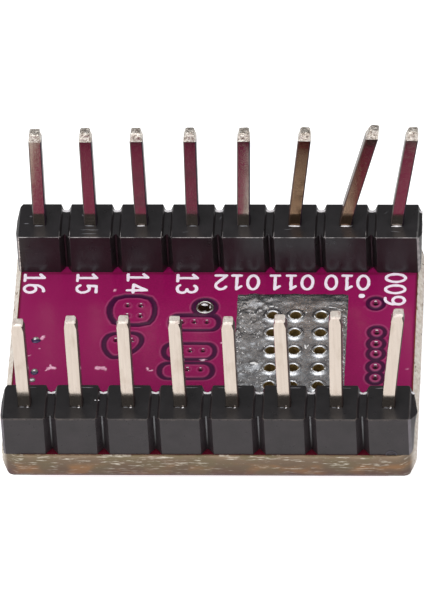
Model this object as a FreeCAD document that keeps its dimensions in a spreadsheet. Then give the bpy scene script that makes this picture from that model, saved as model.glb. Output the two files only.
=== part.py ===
import FreeCAD, Part
import ast
import os
import re
import Sketcher

# Plug-in stepper driver module, 0.6 inch wide, pins up.
# Frame: origin in the middle of the board's pin-side face, +Z along the pins,
# +X along the pin rows, +Y towards the logic row. Millimetres throughout.
# The board fills z = -board_thickness .. 0. Pins rise above it, the driver IC
# and the other components hang below it. Right is +X, left -X, back +Y and
# front -Y. Heights of hanging parts count away from the component side.

doc = FreeCAD.newDocument("stepper_driver_module")
sheet = doc.addObject("Spreadsheet::Sheet", "dims")

# --------------------------------------------------------------- expressions
# Sizes are passed around as text such as "pitch/2-web_face/2", made of aliases
# and numbers. FreeCAD gets the text, and the sketches start from its value now.
sizes = {}
OPERATIONS = {
    ast.Add: lambda a, b: a + b,
    ast.Sub: lambda a, b: a - b,
    ast.Mult: lambda a, b: a * b,
    ast.Div: lambda a, b: a / b,
}


def worked_out(part):
    if isinstance(part, ast.BinOp):
        return OPERATIONS[type(part.op)](worked_out(part.left), worked_out(part.right))
    return sizes[part.id] if isinstance(part, ast.Name) else float(part.value)


def value_of(text):
    return worked_out(ast.parse(text).body[0].value)


def in_sheet(text):
    """The text as a FreeCAD expression, with the sheet's name before each alias."""
    return re.sub(r"\b([a-z]\w*)", r"dims.\1", text)


def signed(side, text):
    """The expression itself for side 1, its negative for side -1."""
    return text if side > 0 else f"(0-({text}))"


def below(depth):
    """The level at this depth below the board's component side."""
    return f"0-board_thickness-({depth})"


# ---------------------------------------------------------------- dimensions
def dim(alias, size, note=""):
    """Adds a row to the sheet. A size given as text is a formula."""
    row = len(sizes) + 1
    formula = isinstance(size, str)
    sheet.set(f"A{row}", "=" + size if formula else str(size))
    sheet.setAlias(f"A{row}", alias)
    if note:
        sheet.set(f"B{row}", "'" + note)
    sizes[alias] = value_of(size) if formula else float(size)


def dim_points(name, points):
    """Adds points to the sheet and gives back their (x, y) aliases."""
    aliases = []
    for number, (x, y) in enumerate(points, 1):
        alias = name % number
        dim(alias + "_x", x)
        dim(alias + "_y", y)
        aliases.append((alias + "_x", alias + "_y"))
    return aliases


# alias, size or formula, note
DIMENSIONS = [
    ("pitch", 2.54, "pin pitch"),
    ("pin_count", 8, "pins in a row"),
    # board
    ("board_length", "pin_count*pitch", "along the pin rows"),
    ("board_width", "6*pitch", "across the rows"),
    ("board_thickness", 1.6),
    ("board_corner", 1.1, "plan corner radius"),
    ("mask_thickness", 0.025),
    ("copper_thickness", 0.035),
    ("score_depth", 0.42, "depth of the V-score on each face"),
    ("score_width", 0.31, "how far the V-score slopes in"),
    ("edge_break", 0.16, "bevel at the lower edge of the long sides"),
    ("mask_setback", 0.1, "copper stops this far from the long sides"),
    ("mask_over_copper", 0.05, "mask beyond the copper at the long sides"),
    ("copper_into_score", 0.05, "copper beyond the inner line of the V-score"),
    ("mask_into_score", 0.02, "mask beyond that line"),
    ("cutter_reach", 1, "how far cutting shapes reach past the board or a part"),
    ("cutter_slant", 0.02, "rise of a cutter's edge outside the board"),
    ("overcut", 0.01, "extra depth of cuts through a thin layer"),
    # headers
    ("row_offset", "2.5*pitch", "row centre line from the board's middle"),
    ("pin_side", 0.64, "square pin"),
    ("pin_above", 5.95, "pin length above the plastic"),
    ("pin_tip", 0.45, "length of the tapered tip"),
    ("pin_tip_side", 0.3, "side of the small flat at the tip"),
    ("pin_tail", 0.85, "pin length below the board"),
    ("tail_taper", 0.12, "tapered end of the tail"),
    ("tail_angle", 40),
    ("pin_bend_scale", 1, "1 keeps the pins as bent in use, 0 makes them straight"),
    ("bend_rise", 1.2, "from the plastic to the first bent section"),
    ("bend_share_low", 0.15, "share of the lean reached there"),
    ("bend_share_high", 0.92, "share reached where the tip begins"),
    ("housing_height", 2.42),
    ("housing_depth", 2.386),
    ("unit_face", 2.0, "flat face of one unit at the front and back"),
    ("notch_depth", 0.38, "depth of the V notch between units"),
    ("web_face", 0.07, "width of the web at the notch floor"),
    ("groove_top", 0.51, "groove between units, at the top"),
    ("groove_flare", 0.06, "widening on each side at the cutter's top"),
    ("groove_over", 0.1, "cutter above the plastic"),
    ("groove_floor", 0.32),
    ("groove_depth", 0.15),
    ("stub_length", 0.1, "broken web at the right end"),
    ("stub_depth", 0.62, "its size across"),
    ("stub_drop", 0.2, "its top below the groove floor"),
    ("end_trim", 0.12, "how much of the outer web is cut away at the left end"),
    ("end_cut_over", 0.3, "cutter beyond that end"),
    ("hole_radius", 0.475, "plated header hole"),
    ("plating", 0.035),
    ("ring_radius", 0.8, "annular ring of a header hole"),
    ("ring_gap", 0.15),
    ("ring_mask_gap", 0.05),
    ("joint_radius", 0.74, "foot of a pin's solder cone"),
    ("joint_top", 0.4, "radius at the cone's far end"),
    ("joint_height", 0.55),
    # heat pad
    ("pad_left", 1.0),
    ("pad_right", 6.5),
    ("pad_back", 3.62),
    ("pad_front", -3.6),
    ("tin_rise", 0.03, "tin above the mask"),
    ("heat_via_radius", 0.25),
    ("heat_rim_radius", 0.36),
    ("heat_rim_rise", 0.045),
    ("heat_via_x_a", 2.8),
    ("heat_via_x_b", 3.93),
    ("heat_via_x_c", 5.2),
    ("heat_via_back", 2.08),
    ("heat_via_step", 1.225),
    # vias
    ("via_radius", 0.14),
    ("via_wall", 0.025),
    ("via_land", 0.28, "land of the vias in the right column"),
    ("via_clear", 0.52, "clearance round them"),
    ("test_x", -0.6),
    ("test_y", 2.69),
    ("test_hole", 0.32),
    ("test_ring", 0.45),
    ("test_clear", 0.69),
    ("test_mask_gap", 0.03),
    ("test_rise", 0.01, "test via above the mask"),
    ("dot_radius", 0.15, "solder-filled vias near the left edge"),
    ("dot_rise", 0.03, "their solder above the mask"),
    # driver IC, thin shrink outline package with a heat slug
    ("ic_x", 3.97),
    ("ic_y", -0.35),
    ("ic_width", 4.4),
    ("ic_length", 9.7),
    ("ic_span", 6.4, "over the leads"),
    ("ic_standoff", 0.1),
    ("ic_height", 1.15, "board to top of the package"),
    ("ic_draft", 7),
    ("dimple_x", 1.35, "from the package's middle"),
    ("dimple_inset", 0.85, "from its back end"),
    ("dimple_radius", 0.3),
    ("dimple_depth", 0.06),
    ("lead_pitch", 0.65),
    ("lead_width", 0.24),
    ("lead_thick", 0.15),
    ("lead_foot", 0.6),
    ("lead_slope", 0.14, "run of the sloping part of a lead"),
    ("lead_bend", 0.1, "outward step of its outer line"),
    ("lead_count", 14, "leads on a side"),
    ("lead_inside", 0.45, "how far a lead runs into the moulding"),
    ("lead_level", 0.6, "lead centre above the board"),
    ("slug_length", 5.18),
    ("slug_width", 3.1),
    ("slug_thick", 0.2),
    ("slug_pad_side", 0.1, "slug pad beyond the slug at the sides"),
    ("slug_pad_end", 0.3, "slug pad beyond the slug at the ends"),
    ("die_length", 3.4),
    ("die_width", 2.4),
    ("die_thick", 0.25),
    ("lead_pad_length", 1.1),
    ("lead_pad_width", 0.4),
    ("lead_pad_in", 0.25, "pad centre inward of the lead's end"),
    ("lead_solder", 0.1),
    ("lead_solder_angle", 40),
    # passives
    ("paste", 0.02, "solder under an end cap"),
    ("cap_wrap", 0.03, "end cap plating"),
    ("coat_inset", 0.06),
    ("coat_thick", 0.02),
    ("fillet_inset", 0.04, "solder fillet inside its pad"),
    ("fillet_angle", 28),
    ("pad_over", 0.12, "gap of the copper round a component's pads"),
    # current trimmer
    ("trim_x", -7.5),
    ("trim_y", 0.0),
    ("trim_side", 3.0),
    ("trim_seat", 0.1, "base above the board"),
    ("trim_base", 0.4, "base thickness"),
    ("trim_corner", 0.35),
    ("trim_pad_x", 0.95, "the two front pads and terminals from the middle"),
    ("trim_pad_y", 1.8),
    ("trim_pad_width", 0.9),
    ("trim_pad_wide", 1.2, "width of the single back pad"),
    ("trim_pad_depth", 0.8),
    ("trim_fillet", 0.22, "height of its solder"),
    ("trim_fillet_inset", 0.05),
    ("trim_fillet_angle", 35),
    ("track_inner", 0.72),
    ("track_outer", 1.08),
    ("track_thick", 0.02),
    ("track_gap", 0.56),
    ("track_cut_over", 0.2),
    ("rivet_radius", 0.3),
    ("rivet_head", 0.42),
    ("rivet_flange", 0.08, "head thickness next to the board"),
    ("rivet_gap", 0.03, "running clearance between rivet and rotor"),
    ("rotor_radius", 1.2),
    ("rotor_rise", 0.66, "rotor face nearest the board"),
    ("rotor_thick", 0.5),
    ("rotor_floor", 0.24, "rotor thickness round the rivet"),
    ("slot_width", 0.36),
    ("slot_length", 1.9),
    ("slot_depth", 0.22),
    ("wiper_thick", 0.05),
    ("wiper_radius", 0.62),
    ("wiper_finger", 0.3),
    ("wiper_overlap", 0.06, "arm into the ring"),
    ("wiper_arm_inset", 0.04, "arm's end inside the track's outer edge"),
    ("wiper_foot_inset", 0.06, "foot inside both edges of the track"),
    ("wiper_foot_angle", 20),
    ("wiper_gap", 0.01, "foot above the track"),
    ("trim_terminal", 0.1, "terminal thickness"),
    ("trim_terminal_width", 0.7),
    ("trim_terminal_reach", 0.3),
    ("terminal_hook", 0.45, "hook over the base"),
    ("terminal_hook_thick", 0.03),
    ("terminal_under", 0.6, "foot under the base"),
    ("terminal_gap", 0.01, "foot above the board"),
]
for entry in DIMENSIONS:
    dim(*entry)

# Via centres: x, y
VIAS = dim_points("via_%02d", [
    (-4.45, 2.81), (-3.79, 2.81), (-4.43, 2.09), (-3.78, 2.09),
    (-4.91, 0.37), (-4.13, 0.37),
    (-1.70, 1.65), (-1.08, 1.67), (-0.46, 1.65),
    (-1.19, -0.35), (-0.56, -0.35),
    (-1.27, -1.66), (-0.62, -1.68),
])
COLUMN_VIAS = dim_points("column_via_%d", [
    (7.87, 2.98), (7.99, 0.94), (7.98, 0.14), (7.99, -0.56), (8.0, -1.47), (8.01, -2.24),
])
DOTS = dim_points("dot_%d", [(-8.87, 0.4), (-8.81, -1.82), (-8.89, -2.45)])

# Sideways offset of every pin's tip from straight, left to right: x, y
LEANS = {
    "power": dim_points("power_lean_%d", [
        (.01, -.42), (.03, -.2), (.03, -.2), (-.01, -.2),
        (.03, -.28), (.01, -.1), (.14, .15), (.65, .3),
    ]),
    "logic": dim_points("logic_lean_%d", [
        (.05, .2), (0, .22), (-.03, .25), (.09, .25),
        (.22, .28), (.73, .3), (1.58, .45), (.96, .35),
    ]),
}

# Copper islands on the pin side: corners (x, y) of the outer, then the inner
# outline of each clearance slot.
ISLAND_OUTLINES = [
    ([(-5.46, 1.72), (-5.08, 1.34), (-3.3, 1.34), (-2.96, 1.68),
      (-2.96, 3.2), (-3.34, 3.56), (-5.08, 3.56), (-5.46, 3.2)],
     [(-5.16, 1.85), (-4.9, 1.57), (-3.5, 1.57), (-3.25, 1.83),
      (-3.25, 3.05), (-3.5, 3.3), (-4.9, 3.3), (-5.16, 3.05)]),
    ([(-5.38, .95), (-5.58, .11), (-5.48, -.47), (-4.95, -1.02),
      (-4.06, -.57), (-3.5, .5), (-3.77, .96)],
     [(-5.18, .72), (-5.33, .10), (-5.25, -.37), (-4.88, -.74),
      (-4.22, -.38), (-3.77, .48), (-3.9, .72)]),
    ([(-2.4, 1.2), (-2.15, .96), (.05, .96), (.27, 1.18),
      (.27, 2.05), (.05, 2.26), (-2.15, 2.26), (-2.4, 2.02)],
     [(-2.18, 1.3), (-2.04, 1.16), (-.08, 1.16), (.05, 1.3),
      (.05, 1.83), (-.08, 1.96), (-2.04, 1.96), (-2.18, 1.83)]),
    ([(-2.63, -.85), (-2.37, -1.04), (-.1, -1.04), (.16, -.85),
      (.16, .0), (-.1, .25), (-2.37, .25), (-2.63, .0)],
     [(-2.4, -.74), (-2.28, -.84), (-.2, -.84), (-.07, -.74),
      (-.07, -.08), (-.2, .04), (-2.28, .04), (-2.4, -.08)]),
    ([(-2.79, -2.1), (-2.5, -2.4), (-.15, -2.4), (.11, -2.14),
      (.11, -1.37), (-.15, -1.14), (-2.5, -1.14), (-2.79, -1.42)],
     [(-2.54, -2.05), (-2.37, -2.23), (-.3, -2.23), (-.13, -2.05),
      (-.13, -1.47), (-.3, -1.34), (-2.37, -1.34), (-2.54, -1.5)]),
]
ISLANDS = [
    [dim_points(f"island_{number}_{which}_%d", points)
     for which, points in zip(("outer", "inner"), pair)]
    for number, pair in enumerate(ISLAND_OUTLINES, 1)
]

# Passives. Band is the length of an end cap, pad_at the pad centre from the
# component's middle.
PASSIVE_COLUMNS = ("length", "width", "height", "band", "pad_length", "pad_width", "pad_at")
PASSIVE_SIZES = {
    "sense": (3.2, 1.6, 0.58, 0.5, 1.1, 1.8, 1.5),
    "supply": (2.0, 1.25, 1.1, 0.45, 0.7, 1.3, 0.95),
    "small": (1.6, 0.8, 0.8, 0.32, 0.7, 0.9, 0.75),
    "chip": (1.6, 0.8, 0.45, 0.32, 0.7, 0.9, 0.75),
}
# Centre x, centre y, and the axis the component lies along.
PASSIVE_PLACES = {
    "sense": [(-1.75, 4.1, "x"), (-1.75, -3.8, "x")],
    "supply": [(-2.6, 0.0, "y"), (-5.5, -3.7, "x")],
    "small": [(-5.5, 4.3, "x"), (-8.0, 4.3, "x"), (-8.4, -4.3, "x"),
              (9.0, 3.6, "y"), (9.0, -3.9, "y")],
    "chip": [(9.0, 1.1, "y"), (9.0, -1.4, "y"), (-4.6, -1.3, "y"),
             (-5.35, 1.9, "y"), (-2.35, 2.45, "x"), (-2.65, -2.1, "x")],
}
PASSIVE_NAMES = {
    "sense": "sense_resistor",
    "supply": "supply_capacitor",
    "small": "small_capacitor",
    "chip": "chip_resistor",
}
RESISTORS = ("sense", "chip")
PASSIVES = {}
for kind, row in PASSIVE_SIZES.items():
    for column, size in zip(PASSIVE_COLUMNS, row):
        dim(f"{kind}_{column}", size)
    height = sizes[kind + "_height"]
    dim(kind + "_fillet", round(min(height * 0.45, 0.3), 3), "height of its solder fillets")
    spots = PASSIVE_PLACES[kind]
    aliases = dim_points(kind + "_%d", [(x, y) for x, y, axis in spots])
    PASSIVES[kind] = [(x, y, spot[2]) for (x, y), spot in zip(aliases, spots)]

# Lengths and levels shared by several pieces
PIN_RUN = "(pin_count-1)*pitch"
FIRST_PIN = "0-(pin_count-1)*pitch/2"
HALF_STRIP = "pin_count*pitch/2"
LEAD_RUN = "(lead_count-1)*lead_pitch"
SIDES = (("right", 1), ("left", -1))
COMPONENT_SIDE = "0-board_thickness"
COPPER_TOP = "0-mask_thickness"
COPPER_LOW = "mask_thickness-board_thickness"
LAMINATE_TOP = "0-mask_thickness-copper_thickness"
LAMINATE_LOW = "mask_thickness+copper_thickness-board_thickness"
LAYERS = "copper_thickness+mask_thickness"


# ------------------------------------------------------------------ sketches
def body(name, x=None, y=None):
    made = doc.addObject("PartDesign::Body", name)
    made.Label = name
    made.AllowCompound = True
    for axis, place in (("x", x), ("y", y)):
        if place is not None:
            made.setExpression("Placement.Base." + axis, in_sheet(place))
    return made


def origin_part(owner, role):
    return next(part for part in owner.Origin.OriginFeatures if part.Role == role)


def sketch(owner, name, plane="XY_Plane", level=None, shift_x=None, shift_y=None):
    made = owner.newObject("Sketcher::SketchObject", name)
    made.AttachmentSupport = [(origin_part(owner, plane), "")]
    made.MapMode = "FlatFace"
    for axis, offset in (("x", shift_x), ("y", shift_y), ("z", level)):
        if offset is not None:
            made.setExpression("AttachmentOffset.Base." + axis, in_sheet(offset))
    return made


# Constraints of each sketch, kept until finish() adds them all at once.
waiting = {}


def constrain(plan, *args, text=None):
    """Notes a constraint. One with a text is a dimension bound to the sheet."""
    if text is not None:
        args += (value_of(text),)
    waiting.setdefault(plan.Name, []).append((Sketcher.Constraint(*args), text))


def finish(plan):
    noted = waiting.pop(plan.Name, [])
    first = plan.ConstraintCount
    plan.addConstraint([constraint for constraint, text in noted])
    for index, (constraint, text) in enumerate(noted, first):
        if text is not None:
            plan.setExpression(f"Constraints[{index}]", in_sheet(text))


def locate(plan, index, point, x, y):
    constrain(plan, "DistanceX", -1, 1, index, point, text=x)
    constrain(plan, "DistanceY", -1, 1, index, point, text=y)


def chain(plan, points):
    """Lines joined end to end round the points, not yet located."""
    here = [FreeCAD.Vector(value_of(x), value_of(y), 0) for x, y in points]
    segments = [Part.LineSegment(a, b) for a, b in zip(here, here[1:] + here[:1])]
    lines = list(plan.addGeometry(segments, False))
    for line, following in zip(lines, lines[1:] + lines[:1]):
        constrain(plan, "Coincident", line, 2, following, 1)
    return lines


def loop(plan, points):
    """A closed outline. Each corner is an (x, y) pair of expressions."""
    for line, (x, y) in zip(chain(plan, points), points):
        locate(plan, line, 1, x, y)


def rect(plan, x0, y0, x1, y1):
    lines = chain(plan, [(x0, y0), (x1, y0), (x1, y1), (x0, y1)])
    for line, way in zip(lines, ("Horizontal", "Vertical", "Horizontal", "Vertical")):
        constrain(plan, way, line)
    locate(plan, lines[0], 1, x0, y0)
    locate(plan, lines[2], 1, x1, y1)


def box(plan, x, y, width, depth):
    """A rectangle round its centre."""
    rect(plan, f"{x}-({width})/2", f"{y}-({depth})/2", f"{x}+({width})/2", f"{y}+({depth})/2")


def ring(plan, x, y, radius):
    circle = Part.Circle(
        FreeCAD.Vector(value_of(x), value_of(y), 0), FreeCAD.Vector(0, 0, 1), value_of(radius))
    index = plan.addGeometry(circle, False)
    locate(plan, index, 3, x, y)
    constrain(plan, "Radius", index, text=radius)


def four_way(quarter):
    """An outline from one quarter of it, listed from the y end to the x end."""
    back = quarter[::-1]
    turns = ((1, -1, quarter), (1, 1, back), (-1, 1, quarter), (-1, -1, back))
    return [(signed(right, x), signed(up, y)) for right, up, run in turns for x, y in run]


# ------------------------------------------------------------------ features
cuts = []
pieces = []


def piece(obj):
    """Marks an object for export."""
    pieces.append(obj)
    return obj


def pad(owner, plan, length, down=False, middle=False, taper=None):
    finish(plan)
    made = owner.newObject("PartDesign::Pad", plan.Name + "_pad")
    made.Profile = plan
    made.setExpression("Length", in_sheet(length))
    made.Reversed = down
    made.Refine = False
    made.Midplane = middle
    if taper is not None:
        made.setExpression("TaperAngle", in_sheet(taper))
    return made


def pocket(owner, plan, length=None, up=False):
    """Cuts below the sketch plane, or above it if up, or through all with no length."""
    finish(plan)
    made = owner.newObject("PartDesign::Pocket", plan.Name + "_pocket")
    made.Profile = plan
    if length is None:
        made.Type = "ThroughAll"
    else:
        made.setExpression("Length", in_sheet(length))
    made.Midplane = length is None
    made.Reversed = up
    made.Refine = False
    cuts.append(made)
    return made


def turned(owner, plan, name):
    """The sketch revolved about its own vertical axis."""
    finish(plan)
    made = owner.newObject("PartDesign::Revolution", name)
    made.Profile = plan
    made.ReferenceAxis = (plan, ["V_Axis"])
    made.Angle = 360
    return made


def pattern(owner, feature, axis, length, count):
    made = owner.newObject("PartDesign::LinearPattern", feature.Name + "_row")
    made.Originals = [feature]
    made.Direction = (origin_part(owner, axis), [""])
    made.setExpression("Length", in_sheet(length))
    made.setExpression("Occurrences", in_sheet(count))
    owner.Tip = made
    return made


def pin_row(owner, feature):
    pattern(owner, feature, "X_Axis", PIN_RUN, "pin_count")


def compound(name, members):
    made = doc.addObject("Part::Compound", name)
    made.Label = name
    made.Links = members
    return made


def cut(name, base, tool):
    made = doc.addObject("Part::Cut", name)
    made.Label = name
    made.Base = base
    made.Tool = tool
    return made


# ---------------------------------------------------- shared board geometry
def header_holes(plan, radius):
    for side in (1, -1):
        for n in range(8):
            ring(plan, f"({n}-3.5)*pitch", signed(side, "row_offset"), radius)


def heat_vias(plan, radius):
    for column in ("heat_via_x_a", "heat_via_x_b", "heat_via_x_c"):
        for n in range(5):
            ring(plan, column, f"heat_via_back-{n}*heat_via_step", radius)


def signal_vias(plan, radius):
    for x, y in VIAS + COLUMN_VIAS:
        ring(plan, x, y, radius)


def filled_dots(plan):
    for x, y in DOTS:
        ring(plan, x, y, "dot_radius")


def drills(plan):
    """The small drilled holes: signal vias, test via, solder-filled vias."""
    signal_vias(plan, "via_radius+via_wall")
    ring(plan, "test_x", "test_y", "test_hole+via_wall")
    filled_dots(plan)


# A rounded corner in four chords: x, y inward of the board's sides, as shares
# of the corner radius.
CORNER_STEPS = [(1.0, 0.0), (0.617, 0.076), (0.293, 0.293), (0.076, 0.617), (0.0, 1.0)]


def outline(plan, setback_x="0", setback_y="0"):
    """The board's outline, set back from its nominal size."""
    loop(plan, four_way([
        (f"board_length/2-({setback_x})-{x}*board_corner",
         f"board_width/2-({setback_y})-{y}*board_corner")
        for x, y in CORNER_STEPS
    ]))


def clearances(owner, name, make):
    """All clearance slots of the pin-side copper, a sketch and a feature each."""
    for number, pair in enumerate(ISLANDS, 1):
        plan = sketch(owner, f"{name}_island_{number}", level=COPPER_TOP)
        for points in pair:
            loop(plan, points)
        make(plan)
    plan = sketch(owner, name + "_vias", level=COPPER_TOP)
    ring(plan, "test_x", "test_y", "test_clear")
    ring(plan, "test_x", "test_y", "test_ring")
    ring(plan, *COLUMN_VIAS[0], "via_clear")
    ring(plan, *COLUMN_VIAS[0], "via_land")
    # one slot for the other five vias of the column
    rect(plan, "column_via_3_x-via_clear", "column_via_6_y-via_clear",
         "column_via_3_x+via_clear", "column_via_2_y+via_clear")
    for x, y in COLUMN_VIAS[1:]:
        ring(plan, x, y, "via_land")
    make(plan)


# --------------------------------------------------------------------- board
def laminate():
    board = body("pcb_laminate")
    plan = sketch(board, "board_outline", level=LAMINATE_TOP)
    outline(plan)
    header_holes(plan, "hole_radius+plating")
    drills(plan)
    heat_vias(plan, "heat_via_radius+via_wall")
    pad(board, plan, "board_thickness-2*mask_thickness-2*copper_thickness", down=True)

    # V-scores at the short sides, on both faces
    plan = sketch(board, "board_scores", "XZ_Plane")
    for side in (1, -1):
        inner = signed(side, "board_length/2-score_width")
        edge = signed(side, "board_length/2")
        out = signed(side, "board_length/2+cutter_reach")
        for face, slant, depth in (
            (LAMINATE_TOP, "+cutter_slant", "0-score_depth"),
            (LAMINATE_LOW, "-cutter_slant", "score_depth-board_thickness"),
        ):
            loop(plan, [(inner, face), (out, face + slant), (out, depth), (edge, depth)])
    pocket(board, plan)

    plan = sketch(board, "board_edge_breaks", "YZ_Plane")
    bevel_top = LAMINATE_LOW + "+2*edge_break"
    for side in (1, -1):
        out = signed(side, "board_width/2+cutter_reach")
        loop(plan, [
            (signed(side, "board_width/2-edge_break"), LAMINATE_LOW),
            (out, LAMINATE_LOW + "-cutter_slant"),
            (out, bevel_top),
            (signed(side, "board_width/2"), bevel_top),
        ])
    pocket(board, plan)
    piece(board)


def pin_side_copper():
    """One pour, with the clearance slots that leave islands."""
    copper = body("copper_pin_side")
    plan = sketch(copper, "pin_copper_outline", level=COPPER_TOP)
    outline(plan, "score_width-copper_into_score", "mask_setback")
    header_holes(plan, "ring_radius+ring_gap")
    drills(plan)
    heat_vias(plan, "heat_via_radius+via_wall")
    pad(copper, plan, "copper_thickness", down=True)
    clearances(copper, "pin_copper_clearance",
               lambda slot: pocket(copper, slot, "copper_thickness+overcut"))
    piece(copper)


def pin_side_mask():
    """A sheet that also fills the clearance slots."""
    mask = body("solder_mask_pin_side")
    plan = sketch(mask, "pin_mask_outline")
    outline(plan, "score_width-mask_into_score", "mask_setback-mask_over_copper")
    header_holes(plan, "ring_radius+ring_mask_gap")
    rect(plan, "pad_left", "pad_front", "pad_right", "pad_back")
    ring(plan, "test_x", "test_y", "test_ring+test_mask_gap")
    filled_dots(plan)
    pad(mask, plan, "mask_thickness", down=True)
    clearances(mask, "pin_mask_fill", lambda slot: pad(mask, slot, "copper_thickness", down=True))
    piece(mask)


def plated_holes(name, places, hole, wall, land=None, top=COPPER_TOP):
    """Tubes through the board, with a ring on each face if land is given."""
    made = body(name)
    plan = sketch(made, name + "_tubes", level=top)
    places(plan, hole)
    places(plan, f"{hole}+{wall}")
    pad(made, plan, f"board_thickness-mask_thickness+({top})", down=True)
    if land:
        for face, level, down in (("top", COPPER_TOP, True), ("low", COPPER_LOW, False)):
            plan = sketch(made, f"{name}_{face}_rings", level=level)
            places(plan, hole)
            places(plan, land)
            pad(made, plan, "copper_thickness", down=down)
    piece(made)


def test_via():
    via = body("test_via_plating")
    for part, radius, length in (
        ("tube", "test_hole+via_wall", "board_thickness-mask_thickness+test_rise"),
        ("ring", "test_ring", "mask_thickness+test_rise"),
    ):
        plan = sketch(via, "test_via_" + part, level="test_rise")
        ring(plan, "test_x", "test_y", "test_hole")
        ring(plan, "test_x", "test_y", radius)
        pad(via, plan, length, down=True)
    piece(via)


def solder_filled_vias():
    dots = body("solder_filled_vias")
    plan = sketch(dots, "filled_vias", level="dot_rise")
    filled_dots(plan)
    pad(dots, plan, "board_thickness+dot_rise-mask_thickness", down=True)
    piece(dots)


def heat_pad_tin():
    """Tin on the bare heat pad, with a raised rim round each open via."""
    tin = body("heat_pad_tin")
    plan = sketch(tin, "tin_sheet", level="tin_rise")
    rect(plan, "pad_left", "pad_front", "pad_right", "pad_back")
    heat_vias(plan, "heat_via_radius+via_wall")
    pad(tin, plan, "tin_rise+mask_thickness", down=True)
    plan = sketch(tin, "tin_rims", level="tin_rise")
    heat_vias(plan, "heat_via_radius+via_wall")
    heat_vias(plan, "heat_rim_radius")
    pad(tin, plan, "heat_rim_rise")
    piece(tin)


laminate()
pin_side_copper()
pin_side_mask()
plated_holes("header_hole_plating", header_holes, "hole_radius", "plating", land="ring_radius")
plated_holes("signal_via_plating", signal_vias, "via_radius", "via_wall")
plated_holes("thermal_via_plating", heat_vias, "heat_via_radius", "via_wall", top="tin_rise")
test_via()
solder_filled_vias()
heat_pad_tin()


# ------------------------------------------------------------------- headers
def pin_square(owner, name, level=None):
    """The square of the row's first pin."""
    plan = sketch(owner, name, level=level, shift_x=FIRST_PIN)
    box(plan, "0", "0", "pin_side", "pin_side")
    return plan


def housing(name, row):
    """One eight-way strip: octagonal units joined by thin webs, a groove across
    the top between units, square holes for the pins, the left end trimmed clean
    and the right end with its broken web."""
    made = body(name, y=row)
    shoulder = "housing_depth/2-notch_depth"
    plan = sketch(made, name + "_unit", shift_x=FIRST_PIN)
    loop(plan, four_way([
        ("unit_face/2", "housing_depth/2"),
        ("pitch/2-web_face/2", shoulder),
        ("pitch/2", shoulder),
    ]))
    pin_row(made, pad(made, plan, "housing_height"))

    plan = sketch(made, name + "_grooves", "XZ_Plane", shift_x="0-" + HALF_STRIP)
    floor, top = "housing_height-groove_depth", "housing_height+groove_over"
    loop(plan, [
        ("0-groove_floor/2", floor),
        ("groove_floor/2", floor),
        ("groove_top/2+groove_flare", top),
        ("0-groove_top/2-groove_flare", top),
    ])
    pattern(made, pocket(made, plan), "X_Axis", "pin_count*pitch", "pin_count+1")

    plan = sketch(made, name + "_ends")
    rect(plan, HALF_STRIP, "0-stub_depth/2", HALF_STRIP + "+stub_length", "stub_depth/2")
    pad(made, plan, "housing_height-groove_depth-stub_drop")

    plan = sketch(made, name + "_clean_end")
    rect(plan, f"0-{HALF_STRIP}-end_cut_over", "0-housing_depth",
         f"end_trim-{HALF_STRIP}", "housing_depth")
    pocket(made, plan)
    pin_row(made, pocket(made, pin_square(made, name + "_pin_hole")))
    piece(made)


def pins(name, row, key):
    """Eight square pins: a straight shank through plastic and board, then the
    free length, lofted to where each tip sits, with a tapered end."""
    made = body(name, y=row)
    tail_level = "0-board_thickness-pin_tail+tail_taper"
    plan = pin_square(made, name + "_shank", tail_level)
    pin_row(made, pad(made, plan, "board_thickness+pin_tail+housing_height-tail_taper"))
    plan = pin_square(made, name + "_tail", tail_level)
    pin_row(made, pad(made, plan, "tail_taper", down=True, taper="0-tail_angle"))

    # level, share of the lean reached there, side of the square
    stations = [
        ("housing_height", "0", "pin_side"),
        ("housing_height+bend_rise", "bend_share_low", "pin_side"),
        ("housing_height+pin_above-pin_tip", "bend_share_high", "pin_side"),
        ("housing_height+pin_above", "1", "pin_tip_side"),
    ]
    for n, (lean_x, lean_y) in enumerate(LEANS[key]):
        sections = []
        for number, (level, share, side) in enumerate(stations, 1):
            plan = sketch(made, f"{name}_{n + 1}_section_{number}", level=level)
            bend = share + "*pin_bend_scale*"
            box(plan, f"({n}-3.5)*pitch+{bend}{lean_x}", bend + lean_y, side, side)
            finish(plan)
            sections.append(plan)
        loft = made.newObject("PartDesign::AdditiveLoft", f"{name}_{n + 1}_free")
        loft.Profile = sections[0]
        loft.Sections = sections[1:]
        loft.Ruled = True
    piece(made)


def header_solder(name, row):
    """Solder fills each plated hole round the pin and forms a cone below the board."""
    cone = body(name + "_cones", y=row)
    plan = sketch(cone, name + "_profile", "XZ_Plane", shift_x=FIRST_PIN)
    # radius, level
    loop(plan, [
        ("0", COPPER_TOP),
        ("hole_radius", COPPER_TOP),
        ("hole_radius", COPPER_LOW),
        ("joint_radius", COPPER_LOW),
        ("joint_radius*0.92", below("0.08")),
        ("joint_top+0.1", below("joint_height*0.55")),
        ("joint_top", below("joint_height")),
        ("0", below("joint_height")),
    ])
    pin_row(cone, turned(cone, plan, name + "_turn"))

    shank = body(name + "_pin_space", y=row)
    plan = pin_square(shank, name + "_space", "0-board_thickness-pin_tail-cutter_reach")
    pin_row(shank, pad(shank, plan, "board_thickness+pin_tail+2*cutter_reach"))
    piece(cut(name, cone, shank))


ROWS = (("logic", "row_offset"), ("power", "0-row_offset"))
for key, row in ROWS:
    housing("header_housing_" + key, row)
for key, row in ROWS:
    pins("header_pins_" + key, row, key)
for key, row in ROWS:
    header_solder("header_solder_" + key, row)


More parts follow.
